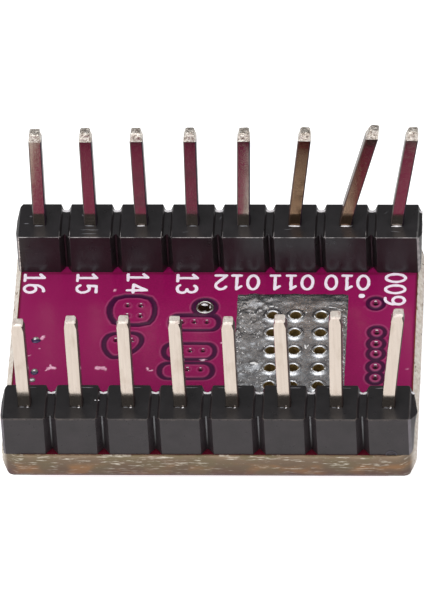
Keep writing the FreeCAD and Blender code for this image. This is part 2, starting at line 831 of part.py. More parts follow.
# ----------------------------------------------------------------- driver IC
def ic_leads():
    leads = body("driver_ic_leads", x="ic_x", y="ic_y")
    enter = "ic_width/2-lead_inside"
    knee = "ic_span/2-lead_foot"
    near, far = below("lead_level-lead_thick/2"), below("lead_level+lead_thick/2")
    foot_near, foot_far = below("paste"), below("paste+lead_thick")
    for name, side in SIDES:
        # The plane's normal is -Y, so this is the back lead; the row runs forward.
        plan = sketch(leads, "lead_profile_" + name, "XZ_Plane", level=f"0-{LEAD_RUN}/2")
        profile = [
            (enter, near),
            (knee + "-lead_slope", near),
            (knee, foot_near),
            ("ic_span/2", foot_near),
            ("ic_span/2", foot_far),
            (knee + "+lead_bend", foot_far),
            (knee + "+lead_bend-lead_slope", far),
            (enter, far),
        ]
        loop(plan, [(signed(side, x), z) for x, z in profile])
        lead = pad(leads, plan, "lead_width", middle=True)
        pattern(leads, lead, "Y_Axis", LEAD_RUN, "lead_count").Reversed = 1
    return piece(leads)


def ic_block(name, part, thick, depth):
    """A plain block centred on the IC, its far face at this depth."""
    block = doc.addObject("Part::Box", name)
    block.Label = name
    for prop, text in (
        ("Length", part + "_width"),
        ("Width", part + "_length"),
        ("Height", thick),
        ("Placement.Base.x", f"ic_x-{part}_width/2"),
        ("Placement.Base.y", f"ic_y-{part}_length/2"),
        ("Placement.Base.z", below(depth)),
    ):
        block.setExpression(prop, in_sheet(text))
    return piece(block)


def ic_moulding(inside):
    """Two drafted halves that meet at the leads, with a dimple near one corner."""
    moulding = body("driver_ic_moulding", x="ic_x", y="ic_y")
    for name, length, down in (
        ("moulding_split", "lead_level-ic_standoff", False),
        ("moulding_split_low", "ic_height-lead_level", True),
    ):
        plan = sketch(moulding, name, level=below("lead_level"))
        box(plan, "0", "0", "ic_width", "ic_length")
        pad(moulding, plan, length, down=down, taper="0-ic_draft")
    plan = sketch(moulding, "moulding_dimple", level=below("ic_height"))
    ring(plan, "dimple_x", "ic_length/2-dimple_inset", "dimple_radius")
    pocket(moulding, plan, "dimple_depth", up=True)
    piece(cut("driver_ic_body", moulding, compound("driver_ic_inside", inside)))


def lead_pad_rows(owner, name, level, make):
    """The two rows of lead pads. make turns a sketch into the row's first feature."""
    for side_name, side in SIDES:
        plan = sketch(owner, f"{name}_{side_name}", level=level, shift_y=f"ic_y-{LEAD_RUN}/2")
        box(plan, "ic_x+" + signed(side, "ic_span/2-lead_pad_in"), "0",
            "lead_pad_length", "lead_pad_width")
        pattern(owner, make(plan), "Y_Axis", LEAD_RUN, "lead_count")


def ic_lead_solder(leads):
    blank = body("driver_ic_lead_solder_blank")
    lead_pad_rows(blank, "lead_solder", COMPONENT_SIDE, lambda plan: pad(
        blank, plan, "lead_solder", down=True, taper="0-lead_solder_angle"))
    piece(cut("driver_ic_lead_solder", blank, leads))


leads = ic_leads()
slug = ic_block("driver_ic_thermal_slug", "slug", "slug_thick", "ic_standoff+slug_thick")
die = ic_block("driver_ic_die", "die", "die_thick", "ic_standoff+slug_thick+die_thick")
ic_moulding([leads, slug, die])
ic_block("driver_ic_slug_solder", "slug", "ic_standoff", "ic_standoff")
ic_lead_solder(leads)


# ------------------------------------------------- component-side pads, copper
def part_box(plan, place, length, width, shift=""):
    """A rectangle on a passive, turned with it and shifted along it."""
    x, y, axis = place
    if axis == "x":
        box(plan, x + shift, y, length, width)
    else:
        box(plan, x, y + shift, width, length)


def passive_pads(plan, kind, inset="0"):
    for place in PASSIVES[kind]:
        for side in (-1, 1):
            part_box(plan, place, f"{kind}_pad_length-2*{inset}", f"{kind}_pad_width-2*{inset}",
                     "+" + signed(side, kind + "_pad_at"))


def trimmer_pads(plan, grow="0"):
    for x, y, width in (
        ("trim_x-trim_pad_x", "trim_y-trim_pad_y", "trim_pad_width"),
        ("trim_x+trim_pad_x", "trim_y-trim_pad_y", "trim_pad_width"),
        ("trim_x", "trim_y+trim_pad_y", "trim_pad_wide"),
    ):
        box(plan, x, y, f"{width}+2*{grow}", f"trim_pad_depth+2*{grow}")


def slug_pad(plan, grow="0"):
    box(plan, "ic_x", "ic_y", f"slug_width+2*slug_pad_side+2*{grow}",
        f"slug_length+2*slug_pad_end+2*{grow}")


def component_pads():
    tinned = body("component_pads")
    for kind in PASSIVES:
        plan = sketch(tinned, kind + "_pads", level=LAMINATE_LOW)
        passive_pads(plan, kind)
        pad(tinned, plan, LAYERS, down=True)
    plan = sketch(tinned, "slug_and_trimmer_pads", level=LAMINATE_LOW)
    trimmer_pads(plan)
    slug_pad(plan)
    heat_vias(plan, "heat_via_radius+via_wall")
    pad(tinned, plan, LAYERS, down=True)
    lead_pad_rows(tinned, "lead_pads", LAMINATE_LOW,
                  lambda row_plan: pad(tinned, row_plan, LAYERS, down=True))
    piece(tinned)


def pour_openings(owner, name, make):
    """Where the component-side copper leaves room for pads, one opening each."""
    for kind, places in PASSIVES.items():
        plan = sketch(owner, f"{name}_{kind}", level=COPPER_LOW)
        for place in places:
            part_box(plan, place, f"2*{kind}_pad_at+{kind}_pad_length+2*pad_over",
                     f"{kind}_pad_width+2*pad_over")
        make(plan)
    plan = sketch(owner, name + "_rest", level=COPPER_LOW)
    trimmer_pads(plan, "pad_over")
    slug_pad(plan, "pad_over")
    for _, side in SIDES:
        box(plan, "ic_x+" + signed(side, "ic_span/2-lead_pad_in"), "ic_y",
            "lead_pad_length+2*pad_over", LEAD_RUN + "+lead_pad_width+2*pad_over")
    make(plan)


def component_side_copper():
    copper = body("copper_component_side")
    plan = sketch(copper, "low_copper_outline", level=COPPER_LOW)
    outline(plan, "score_width-copper_into_score", "mask_setback+edge_break")
    header_holes(plan, "ring_radius+ring_gap")
    drills(plan)
    pad(copper, plan, "copper_thickness")
    pour_openings(copper, "low_copper_opening",
                  lambda opening: pocket(copper, opening, "copper_thickness+overcut", up=True))
    piece(copper)


def component_side_mask():
    """A sheet that fills the copper's openings, then is cut away over the pads."""
    mask = body("solder_mask_component_side")
    plan = sketch(mask, "low_mask_outline", level=COMPONENT_SIDE)
    outline(plan, "score_width-mask_into_score", "mask_setback-mask_over_copper+edge_break")
    header_holes(plan, "ring_radius+ring_mask_gap")
    drills(plan)
    pad(mask, plan, "mask_thickness")
    pour_openings(mask, "low_mask_fill", lambda opening: pad(mask, opening, "copper_thickness"))

    def open_up(window):
        return pocket(mask, window, LAYERS + "+overcut", up=True)

    for kind in PASSIVES:
        plan = sketch(mask, "low_mask_windows_" + kind, level=COMPONENT_SIDE)
        passive_pads(plan, kind)
        open_up(plan)
    plan = sketch(mask, "low_mask_windows_rest", level=COMPONENT_SIDE)
    trimmer_pads(plan)
    slug_pad(plan)
    open_up(plan)
    lead_pad_rows(mask, "low_mask_lead_window", COMPONENT_SIDE, open_up)
    plan = sketch(mask, "low_mask_drills", level=COMPONENT_SIDE)
    drills(plan)
    open_up(plan)
    piece(mask)


component_pads()
component_side_copper()
component_side_mask()


# ------------------------------------------------------------------ passives
def passive_cores(kind, label):
    core = body(label + "_bodies")
    plan = sketch(core, label + "_cores", level=below("paste+cap_wrap"))
    # end caps wrap a capacitor's sides too, but not a resistor's
    width = kind + "_width" + ("" if kind in RESISTORS else "-2*cap_wrap")
    for place in PASSIVES[kind]:
        part_box(plan, place, kind + "_length-2*cap_wrap", width)
    pad(core, plan, kind + "_height-2*cap_wrap", down=True)
    return piece(core)


def passive_end_caps(kind, label, core):
    ends = body(label + "_end_blanks")
    plan = sketch(ends, label + "_ends", level=below("paste"))
    for place in PASSIVES[kind]:
        for side in (-1, 1):
            part_box(plan, place, kind + "_band", kind + "_width",
                     "+" + signed(side, f"{kind}_length/2-{kind}_band/2"))
    pad(ends, plan, kind + "_height", down=True)
    piece(cut(label + "_end_caps", ends, core))


def resistor_overcoats(kind, label):
    coat = body(label + "_overcoats")
    plan = sketch(coat, label + "_coats", level=below(f"paste+{kind}_height-cap_wrap"))
    for place in PASSIVES[kind]:
        part_box(plan, place, f"{kind}_length-2*{kind}_band", kind + "_width-2*coat_inset")
    pad(coat, plan, "coat_thick", down=True)
    piece(coat)


def passive_fillet(kind, label):
    blank = body(label + "_fillet_blanks")
    plan = sketch(blank, label + "_fillets", level=COMPONENT_SIDE)
    passive_pads(plan, kind, "(0-(0-fillet_inset))")
    pad(blank, plan, kind + "_fillet", down=True, taper="0-fillet_angle")
    space = body(label + "_fillet_space")
    plan = sketch(space, label + "_space", level=below("paste"))
    for place in PASSIVES[kind]:
        part_box(plan, place, kind + "_length", kind + "_width")
    pad(space, plan, kind + "_height", down=True)
    return cut(label + "_fillet", blank, space)


fillets = []
for kind, label in PASSIVE_NAMES.items():
    passive_end_caps(kind, label, passive_cores(kind, label))
    if kind in RESISTORS:
        resistor_overcoats(kind, label)
    fillets.append(passive_fillet(kind, label))
piece(compound("passive_solder_fillets", fillets))


# ------------------------------------------------------------ current trimmer
def trimmer_body(name):
    return body(name, x="trim_x", y="trim_y")


def trimmer_base():
    base = trimmer_body("trimmer_base")
    plan = sketch(base, "trimmer_plan", level=below("trim_seat"))
    side, corner = "trim_side/2", "trim_side/2-trim_corner"
    loop(plan, four_way([(corner, side), (side, corner)]))
    ring(plan, "0", "0", "rivet_radius")
    pad(base, plan, "trim_base", down=True)
    plan = sketch(base, "trimmer_rivet_seat", level=below("trim_seat"))
    ring(plan, "0", "0", "rivet_head")
    pocket(base, plan, "rivet_flange")
    piece(base)


def trimmer_track():
    """A flat ring, open at the front."""
    track = trimmer_body("trimmer_resistive_track")
    plan = sketch(track, "track_plan", level=below("trim_seat+trim_base"))
    ring(plan, "0", "0", "track_outer")
    ring(plan, "0", "0", "track_inner")
    pad(track, plan, "track_thick", down=True)
    plan = sketch(track, "track_gap", level=below("trim_seat+trim_base"))
    rect(plan, "0-track_gap/2", "0-track_outer-track_cut_over", "track_gap/2", "0")
    pocket(track, plan)
    piece(track)


def trimmer_rivet():
    rivet = trimmer_body("trimmer_rivet")
    plan = sketch(rivet, "rivet_profile", "XZ_Plane")
    # radius, depth
    profile = [
        ("0", "trim_seat"),
        ("rivet_head", "trim_seat"),
        ("rivet_head", "trim_seat+rivet_flange"),
        ("rivet_radius", "trim_seat+rivet_flange"),
        ("rivet_radius", "rotor_rise+0.27"),
        ("rivet_head", "rotor_rise+0.27"),
        ("rivet_head", "rotor_rise+0.36"),
        ("0.1", "rotor_rise+0.4"),
        ("0", "rotor_rise+0.4"),
    ]
    loop(plan, [(radius, below(depth)) for radius, depth in profile])
    turned(rivet, plan, "rivet_turn")
    piece(rivet)


def trimmer_rotor():
    """A cup that turns on the rivet, with a cross slot in its far face."""
    rotor = trimmer_body("trimmer_rotor")
    plan = sketch(rotor, "rotor_profile", "XZ_Plane")
    # radius, depth beyond rotor_rise
    profile = [
        ("rivet_radius+rivet_gap", "0"),
        ("rotor_radius-0.12", "0"),
        ("rotor_radius", "0.08"),
        ("rotor_radius", "0.2"),
        ("rotor_radius-0.25", "rotor_thick-0.08"),
        ("rotor_radius-0.4", "rotor_thick"),
        ("rivet_head+0.16", "rotor_thick"),
        ("rivet_head+0.05", "rotor_thick-0.05"),
        ("rivet_head+0.05", "rotor_floor"),
        ("rivet_radius+rivet_gap", "rotor_floor"),
    ]
    loop(plan, [(radius, below("rotor_rise+" + depth)) for radius, depth in profile])
    turned(rotor, plan, "rotor_turn")
    plan = sketch(rotor, "rotor_cross", level=below("rotor_rise+rotor_thick"))
    width, reach = "slot_width/2", "slot_length/2"
    loop(plan, four_way([(width, reach), (width, width), (reach, width)]))
    pocket(rotor, plan, "slot_depth", up=True)
    piece(rotor)


def trimmer_wiper():
    """A ring under the rotor, with an arm to the back and a foot over the track."""
    wiper = trimmer_body("trimmer_wiper")
    plan = sketch(wiper, "wiper_ring", level=below("rotor_rise"))
    ring(plan, "0", "0", "wiper_radius")
    ring(plan, "0", "0", "rivet_radius+rivet_gap")
    pad(wiper, plan, "wiper_thick")
    plan = sketch(wiper, "wiper_arm", level=below("rotor_rise"))
    rect(plan, "0-wiper_finger/2", "wiper_radius-wiper_overlap",
         "wiper_finger/2", "track_outer-wiper_arm_inset")
    pad(wiper, plan, "wiper_thick")
    plan = sketch(wiper, "wiper_foot", level=below("rotor_rise-wiper_thick"))
    rect(plan, "0-wiper_finger/2", "track_inner+wiper_foot_inset",
         "wiper_finger/2", "track_outer-wiper_foot_inset")
    pad(wiper, plan, "rotor_rise-wiper_thick-trim_seat-trim_base-track_thick-wiper_gap",
        taper="0-wiper_foot_angle")
    piece(wiper)


def trimmer_terminals():
    """Two terminals at the front and one at the back, hooked round the base."""
    terminals = trimmer_body("trimmer_terminals")
    # y from the middle, depth
    profile = [
        ("trim_side/2-terminal_hook", "trim_seat+trim_base"),
        ("trim_side/2", "trim_seat+trim_base"),
        ("trim_side/2", "trim_seat"),
        ("trim_side/2-terminal_under", "trim_seat"),
        ("trim_side/2-terminal_under", "terminal_gap"),
        ("trim_side/2+trim_terminal_reach", "terminal_gap"),
        ("trim_side/2+trim_terminal_reach", "trim_seat"),
        ("trim_side/2+trim_terminal", "trim_seat"),
        ("trim_side/2+trim_terminal", "trim_seat+trim_base+terminal_hook_thick"),
        ("trim_side/2-terminal_hook", "trim_seat+trim_base+terminal_hook_thick"),
    ]
    places = (("0-trim_pad_x", -1), ("trim_pad_x", -1), ("0", 1))
    for number, (x, side) in enumerate(places, 1):
        plan = sketch(terminals, f"terminal_profile_{number}", "YZ_Plane", level=x)
        loop(plan, [(signed(side, y), below(depth)) for y, depth in profile])
        pad(terminals, plan, "trim_terminal_width", middle=True)
    return piece(terminals)


def trimmer_fillets(terminals):
    blank = body("trimmer_fillet_blanks")
    plan = sketch(blank, "trimmer_fillets", level=COMPONENT_SIDE)
    trimmer_pads(plan, "(0-trim_fillet_inset)")
    pad(blank, plan, "trim_fillet", down=True, taper="0-trim_fillet_angle")
    space = trimmer_body("trimmer_fillet_space")
    plan = sketch(space, "trimmer_space", level=below("trim_seat"))
    box(plan, "0", "0", "trim_side", "trim_side")
    pad(space, plan, "cutter_reach", down=True)
    tools = compound("trimmer_fillet_tools", [space, terminals])
    piece(cut("trimmer_solder_fillets", blank, tools))


trimmer_base()
trimmer_track()
trimmer_rivet()
trimmer_rotor()
trimmer_wiper()
trimmer_fillets(trimmer_terminals())

# --------------------------------------------------------------------- build
doc.recompute()
failed = [
    f"{obj.Label} {obj.State}" for obj in doc.Objects
    if "Invalid" in obj.State or "Error" in obj.State
]
if failed:
    raise RuntimeError("features that failed: " + "; ".join(failed[:20]))
for feature in cuts:
    before = feature.BaseFeature
    if before is not None and not feature.Shape.Volume < before.Shape.Volume - 1e-6:
        raise RuntimeError(feature.Label + " cuts nothing")
for obj in pieces:
    if obj.Shape.isNull() or not obj.Shape.isValid() or not obj.Shape.Solids:
        raise RuntimeError(obj.Label + " has no valid solid")
os.makedirs("parts", exist_ok=True)
for obj in pieces:
    obj.Shape.exportStep(f"parts/{obj.Label}.step")
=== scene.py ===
"""A small driver board lying pin side up, with a row of eight header pins along each long edge.

Lengths are in millimetres and become metres as a mesh is made; lights and bump depths are in
metres. The upper (pin side) face of the board is z = 0 and the board hangs below it. X runs
along the header rows. The logic row is at +Y and the power row at -Y, nearer the camera.
"""

import math
from functools import lru_cache

import bmesh
import bpy
import numpy as np
from mathutils import Matrix, Vector


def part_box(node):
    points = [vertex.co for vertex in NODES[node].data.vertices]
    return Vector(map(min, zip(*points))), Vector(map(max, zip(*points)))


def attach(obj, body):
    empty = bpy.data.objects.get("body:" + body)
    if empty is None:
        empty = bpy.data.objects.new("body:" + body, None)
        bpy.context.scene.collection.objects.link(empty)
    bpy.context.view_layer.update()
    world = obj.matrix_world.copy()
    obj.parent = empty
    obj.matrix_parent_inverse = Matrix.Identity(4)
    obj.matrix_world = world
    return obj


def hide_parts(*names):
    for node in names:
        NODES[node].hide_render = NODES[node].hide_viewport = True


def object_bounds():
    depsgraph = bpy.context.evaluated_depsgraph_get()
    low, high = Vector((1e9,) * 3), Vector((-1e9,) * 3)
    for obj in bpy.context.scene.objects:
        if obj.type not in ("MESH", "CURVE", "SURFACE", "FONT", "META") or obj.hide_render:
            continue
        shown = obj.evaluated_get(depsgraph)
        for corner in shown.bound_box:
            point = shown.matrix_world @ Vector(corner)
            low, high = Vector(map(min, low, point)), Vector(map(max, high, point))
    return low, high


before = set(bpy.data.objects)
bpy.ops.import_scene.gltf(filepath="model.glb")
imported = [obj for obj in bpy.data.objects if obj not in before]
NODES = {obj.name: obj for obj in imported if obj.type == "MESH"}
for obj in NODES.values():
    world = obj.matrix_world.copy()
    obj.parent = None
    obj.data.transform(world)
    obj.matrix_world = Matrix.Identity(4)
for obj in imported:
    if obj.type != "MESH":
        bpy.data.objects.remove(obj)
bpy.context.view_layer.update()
MM = 0.001
scene = bpy.context.scene

# --------------------------------------------------------------- main sizes
PITCH = 2.54
ROW_Y = 2.5 * PITCH
ROWS = {"logic": ROW_Y, "power": -ROW_Y}
PIN_X = [(n - 3.5) * PITCH for n in range(8)]
BOARD_X, BOARD_Y, BOARD_T = 4 * PITCH, 3 * PITCH, 1.6  # half length, half depth, thickness
HOUSING_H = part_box("header_housing_power")[1].z / MM
MASK_X, MASK_Y, MASK_R = 9.86, 7.53, 0.85  # half length, half depth, corner radius
HEAT = (1.0, -3.6, 6.5, 3.62)  # bare heat pad: x0, y0, x1, y1
HEAT_VIAS = [(x, 2.08 - 1.225 * n) for x in (2.8, 3.93, 5.2) for n in range(5)]


# ---------------------------------------------------------- fields of x and y
def smooth(start, end, value):
    """Smooth step from 0 at start to 1 at end, which may lie below start."""
    t = np.clip((np.asarray(value, float) - start) / (end - start), 0, 1)
    return t * t * (3 - 2 * t)


@lru_cache
def noise_table(seed):
    return np.random.default_rng(seed).uniform(-1, 1, (257, 257))


def vnoise(x, y, size, seed):
    """Smooth value noise, -1..1, one lattice cell being size mm."""
    table = noise_table(seed)
    u, v = np.asarray(x, float) / size + 91.7, np.asarray(y, float) / size + 57.3
    i, j = np.floor(u).astype(int), np.floor(v).astype(int)
    fu, fv = u - i, v - j
    fu, fv = fu * fu * (3 - 2 * fu), fv * fv * (3 - 2 * fv)

    def value(a, b):
        return table[a % 257, b % 257]

    near = value(i, j) * (1 - fu) + value(i + 1, j) * fu
    return near * (1 - fv) + (value(i, j + 1) * (1 - fu) + value(i + 1, j + 1) * fu) * fv


def segment_distance(x, y, start, end, least=1e-12):
    (ax, ay), (bx, by) = start, end
    dx, dy = bx - ax, by - ay
    t = np.clip(((x - ax) * dx + (y - ay) * dy) / (dx * dx + dy * dy + least), 0, 1)
    return np.hypot(x - ax - t * dx, y - ay - t * dy)


def inside_polygon(points, x, y):
    """Distance into a closed outline: positive inside, negative outside."""
    best = np.full(x.shape, 1e9)
    odd = np.zeros(x.shape, bool)
    for i, (ax, ay) in enumerate(points):
        bx, by = points[(i + 1) % len(points)]
        best = np.minimum(best, segment_distance(x, y, (ax, ay), (bx, by)))
        rise = (by - ay) or 1e-12
        odd ^= ((ay > y) != (by > y)) & (x < (bx - ax) * (y - ay) / rise + ax)
    return np.where(odd, best, -best)


def inside_box(x, y, x0, y0, x1, y1, radius=0.0):
    """Distance into a box with rounded corners, negative outside."""
    qx = np.abs(x - (x0 + x1) / 2) - ((x1 - x0) / 2 - radius)
    qy = np.abs(y - (y0 + y1) / 2) - ((y1 - y0) / 2 - radius)
    outside = np.hypot(np.maximum(qx, 0), np.maximum(qy, 0))
    return -(outside + np.minimum(np.maximum(qx, qy), 0) - radius)


def nearest(x, y, points):
    return np.min([np.hypot(x - px, y - py) for px, py in points], axis=0)


# ----------------------------------------------------------------- outlines
def rounded_box(x0, y0, x1, y1, rx, ry, steps):
    """Counterclockwise outline as (x, y, cosine, sine of the corner angle)."""
    out = []
    corners = ((x1 - rx, y0 + ry, -90), (x1 - rx, y1 - ry, 0),
               (x0 + rx, y1 - ry, 90), (x0 + rx, y0 + ry, 180))
    for cx, cy, start in corners:
        for k in range(steps + 1):
            t = math.radians(start + 90 * k / steps)
            out.append((cx + rx * math.cos(t), cy + ry * math.sin(t), math.cos(t), math.sin(t)))
    return out


def pill(*box_and_radii):
    return [point[:2] for point in rounded_box(*box_and_radii, steps=5)]


def cut_corners(points, times):
    """Rounds a closed outline by cutting each corner at its quarter points."""
    for _ in range(times):
        out = []
        for i, (x, y) in enumerate(points):
            u, v = points[(i + 1) % len(points)]
            out += [(x * .75 + u * .25, y * .75 + v * .25), (x * .25 + u * .75, y * .25 + v * .75)]
        points = out
    return points


def turned(cx, cy, x, y, turn):
    """The offset (x, y) turned by an angle in radians and laid off from a centre."""
    return (cx + x * math.cos(turn) - y * math.sin(turn),
            cy + x * math.sin(turn) + y * math.cos(turn))


# ------------------------------------------------------------------- meshes
def shade_mesh(mesh, angle):
    mesh.shade_smooth()
    mesh.set_sharp_from_angle(angle=math.radians(angle))


def new_object(name, points, faces, materials, shade):
    """A mesh object riding on the board. Shade is the sharp edge angle, or None."""
    mesh = bpy.data.meshes.new(name)
    mesh.from_pydata((np.array(points) * MM).tolist(), [], faces)
    mesh.validate()
    mesh.update()
    obj = bpy.data.objects.new(name, mesh)
    scene.collection.objects.link(obj)
    for material in materials:
        mesh.materials.append(material)
    if shade is not None:
        shade_mesh(mesh, shade)
    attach(obj, "board")
    return obj


def face_outward(obj):
    bm = bmesh.new()
    bm.from_mesh(obj.data)
    bmesh.ops.recalc_face_normals(bm, faces=bm.faces)
    bm.to_mesh(obj.data)
    bm.free()


def add_attribute(obj, name, values):
    layer = obj.data.attributes.new(name, "FLOAT", "POINT")
    layer.data.foreach_set("value", np.asarray(values, np.float32))


def tube(start, rings, sides, closed=False):
    """Faces between successive rings of points; closed joins the last to the first."""
    faces = []
    for i in range(rings if closed else rings - 1):
        a, b = start + i * sides, start + (i + 1) % rings * sides
        for k in range(sides):
            q = (k + 1) % sides
            faces.append((a + k, a + q, b + q, b + k))
    return faces


def grid_lines(*bands):
    """Grid stations from (start, end, step) bands laid end to end."""
    out = []
    for start, end, step in bands:
        count = max(2, int(round((end - start) / step)) + 1)
        out += list(np.linspace(start, end, count)[:-1])
    return out + [bands[-1][1]]


def cell_corners(grid):
    return grid[:-1, :-1], grid[1:, :-1], grid[1:, 1:], grid[:-1, 1:]


def sheet(name, xs, ys, inside, top, bottom, material, attributes=None, shade=50):
    """A closed plate: the region of a grid where inside(x, y) > 0, with a cut
    boundary, a shaped top, a bottom (a level or a field) and side walls."""
    grid_x, grid_y = np.meshgrid(xs, ys, indexing="ij")
    depth = inside(grid_x, grid_y)
    depth = np.where(np.abs(depth) < 1e-5, 1e-5, depth)
    solid = depth > 0
    grid_count = int(solid.sum())
    index = -np.ones(solid.shape, int)
    index[solid] = np.arange(grid_count)
    px, py = list(grid_x[solid]), list(grid_y[solid])
    cuts = {}

    def crossing(a, b):
        a, b = min(a, b), max(a, b)
        if (a, b) not in cuts:
            t = min(max(depth[a] / (depth[a] - depth[b]), 0.02), 0.98)
            cuts[a, b] = len(px)
            px.append(grid_x[a] * (1 - t) + grid_x[b] * t)
            py.append(grid_y[a] * (1 - t) + grid_y[b] * t)
        return cuts[a, b]

    full = np.logical_and.reduce(cell_corners(solid))
    partial = np.logical_or.reduce(cell_corners(solid)) & ~full
    faces = np.stack([corner[full] for corner in cell_corners(index)], 1).tolist()
    rim = []
    for i, j in np.argwhere(partial):
        corners = [(i, j), (i + 1, j), (i + 1, j + 1), (i, j + 1)]
        flags = [bool(solid[c]) for c in corners]
        if sum(flags) == 2 and flags[0] == flags[2]:
            loops = []
            for k in range(4):
                if flags[k]:
                    a, b, c = corners[k - 1], corners[k], corners[(k + 1) % 4]
                    loops.append([crossing(a, b), int(index[b]), crossing(b, c)])
        else:
            loops = [[]]
            for k in range(4):
                a, b = corners[k], corners[(k + 1) % 4]
                if solid[a]:
                    loops[0].append(int(index[a]))
                if solid[a] != solid[b]:
                    loops[0].append(crossing(a, b))
        for loop in loops:
            faces.append(loop)
            for a, b in zip(loop, loop[1:] + loop[:1]):
                if a >= grid_count and b >= grid_count:
                    rim.append((a, b))
    px, py = np.array(px), np.array(py)
    count = len(px)
    low_z = bottom(px, py) if callable(bottom) else np.full(count, float(bottom))
    points = np.concatenate([np.stack([px, py, top(px, py)], 1), np.stack([px, py, low_z], 1)])
    low = [[v + count for v in reversed(face)] for face in faces]
    walls = [(b, a, a + count, b + count) for a, b in rim]
    obj = new_object(name, points, faces + low + walls, [material], shade)
    for label, field in (attributes or {}).items():
        values = field(px, py)
        add_attribute(obj, label, np.concatenate([values, values]))
    return obj


def pebbles(name, items, material):
    """Small raised marks: flattened, slightly irregular domes. Each item is
    (centre, half sizes, turn, seed)."""
    rings, sides = 4, 12
    points, faces = [], []
    for (cx, cy, cz), (half_x, half_y, height), turn, seed in items:
        start = len(points)
        wobble = 1 + 0.22 * np.random.default_rng(seed).uniform(-1, 1, sides)
        for ring in range(rings):
            t = math.pi / 2 * ring / rings
            for k in range(sides):
                a = 2 * math.pi * k / sides
                x = half_x * math.cos(t) * math.cos(a) * wobble[k]
                y = half_y * math.cos(t) * math.sin(a) * wobble[k]
                points.append((*turned(cx, cy, x, y, turn), cz + height * math.sin(t)))
        points.append((cx, cy, cz + height))
        faces += tube(start, rings, sides)
        last = start + (rings - 1) * sides
        faces += [(last + k, last + (k + 1) % sides, last + sides) for k in range(sides)]
        faces.append([start + k for k in range(sides)][::-1])
    return new_object(name, points, faces, [material], 60)


# ---------------------------------------------------------------- materials
class Look:
    """Short calls that build the node tree of a material or a world."""

    def __init__(self, owner, shader="Principled BSDF"):
        owner.use_nodes = True
        self.owner = owner
        self.tree = owner.node_tree
        self.shader = self.tree.nodes[shader]

    def new(self, kind):
        return self.tree.nodes.new("ShaderNode" + kind)

    def put(self, socket, value):
        """Links a socket, or sets a number or an RGB colour."""
        if isinstance(value, bpy.types.NodeSocket):
            self.tree.links.new(value, socket)
        else:
            socket.default_value = (*value, 1) if isinstance(value, tuple) else value

    def surface(self, values):
        """Fills inputs of the shader and returns the finished material or world."""
        for name, value in values.items():
            self.put(self.shader.inputs[name], value)
        return self.owner

    def coords(self, scale=(1000, 1000, 1000)):
        """Object coordinates, in mm unless stretched by another scale."""
        source, mapping = self.new("TexCoord"), self.new("Mapping")
        mapping.inputs["Scale"].default_value = scale
        self.put(mapping.inputs["Vector"], source.outputs["Object"])
        return mapping.outputs["Vector"]

    def noise(self, vector, scale=1.0, detail=4.0, rough=0.55, warp=0.0):
        node = self.new("TexNoise")
        for name, value in (("Scale", scale), ("Detail", detail), ("Roughness", rough),
                            ("Distortion", warp), ("Vector", vector)):
            self.put(node.inputs[name], value)
        return node.outputs["Fac"]

    def ramp(self, value, *stops):
        """Colour ramp; each stop is (position, grey level or colour)."""
        node = self.new("ValToRGB")
        elements = node.color_ramp.elements
        while len(elements) < len(stops):
            elements.new(0.5)
        for element, (position, colour) in zip(elements, stops):
            element.position = position
            element.color = (*(colour if isinstance(colour, tuple) else (colour,) * 3), 1)
        self.put(node.inputs["Fac"], value)
        return node.outputs["Color"]

    def mix(self, share, first, second, mode="MIX"):
        node = self.new("Mix")
        node.data_type = "RGBA"
        node.blend_type = mode
        colours = [s for s in node.inputs if s.type == "RGBA"]
        self.put([s for s in node.inputs if s.type == "VALUE"][0], share)
        self.put(colours[0], first)
        self.put(colours[1], second)
        return [s for s in node.outputs if s.type == "RGBA"][0]

    def tint(self, first, second):
        return self.mix(1.0, first, second, "MULTIPLY")

    def math(self, operation, *values, clamp=False):
        node = self.new("Math")
        node.operation = operation
        node.use_clamp = clamp
        for socket, value in zip(node.inputs, values):
            self.put(socket, value)
        return node.outputs[0]

    def times(self, first, second, clamp=False):
        return self.math("MULTIPLY", first, second, clamp=clamp)

    def minus(self, first, second):
        return self.math("SUBTRACT", first, second)

    def attribute(self, name):
        node = self.new("Attribute")
        node.attribute_name = name
        return node.outputs["Fac"]

    def split(self, vector):
        node = self.new("SeparateXYZ")
        self.put(node.inputs[0], vector)
        return node.outputs

    def bump(self, height, strength, depth):
        node = self.new("Bump")
        self.surface_inputs = node.inputs
        self.put(node.inputs["Strength"], strength)
        self.put(node.inputs["Distance"], depth)
        self.put(node.inputs["Height"], height)
        return node.outputs["Normal"]


def new_look(name):
    return Look(bpy.data.materials.new(name))


def mask_material(name, marked):
    """Glossy purple lacquer; the marked one takes its stains, its painted shade and its painted
    highlights from attributes.
    """
    look = new_look(name)
    at = look.coords()
    col = look.ramp(look.noise(at, scale=0.35, detail=3),
                    (0.3, (0.275, 0.0045, 0.086)), (0.7, (0.315, 0.007, 0.1)))
    speck = look.ramp(look.noise(at, scale=9.0, detail=2), (0.35, 0.86), (0.7, 1.0))
    col = look.tint(col, speck)
    if marked:
        along = look.split(at)["X"]
        left = look.times(look.minus(-4.0, along), 0.16, clamp=True)
        col = look.mix(left, col, (0.285, 0.012, 0.096))
        right = look.times(look.minus(along, 6.6), 0.3, clamp=True)
        col = look.mix(right, col, (0.3, 0.01, 0.1))
        # Layers from attributes: clear is the darker lacquer over bare laminate; shade and the
        # via-opening layer are painted shade, edge is a painted highlight, and the pale marks are
        # partly flux stains, partly painted reflections.
        for stain, colour in (("shade", (0.075, 0.004, 0.012)), ("clear", (0.05, 0.004, 0.036)),
                              ("edge", (0.42, 0.12, 0.24)), ("flux_and_glare", (1.0, 0.55, 0.74)),
                              ("hole", (0.012, 0.001, 0.006))):
            col = look.mix(look.attribute(stain), col, colour)
    return look.surface({
        "Base Color": col, "IOR": 1.38,
        "Roughness": look.ramp(look.noise(at, scale=3.0), (0.3, 0.16), (0.75, 0.28)),
        "Normal": look.bump(look.noise(at, scale=5.0, detail=5), strength=0.25, depth=1e-5)})


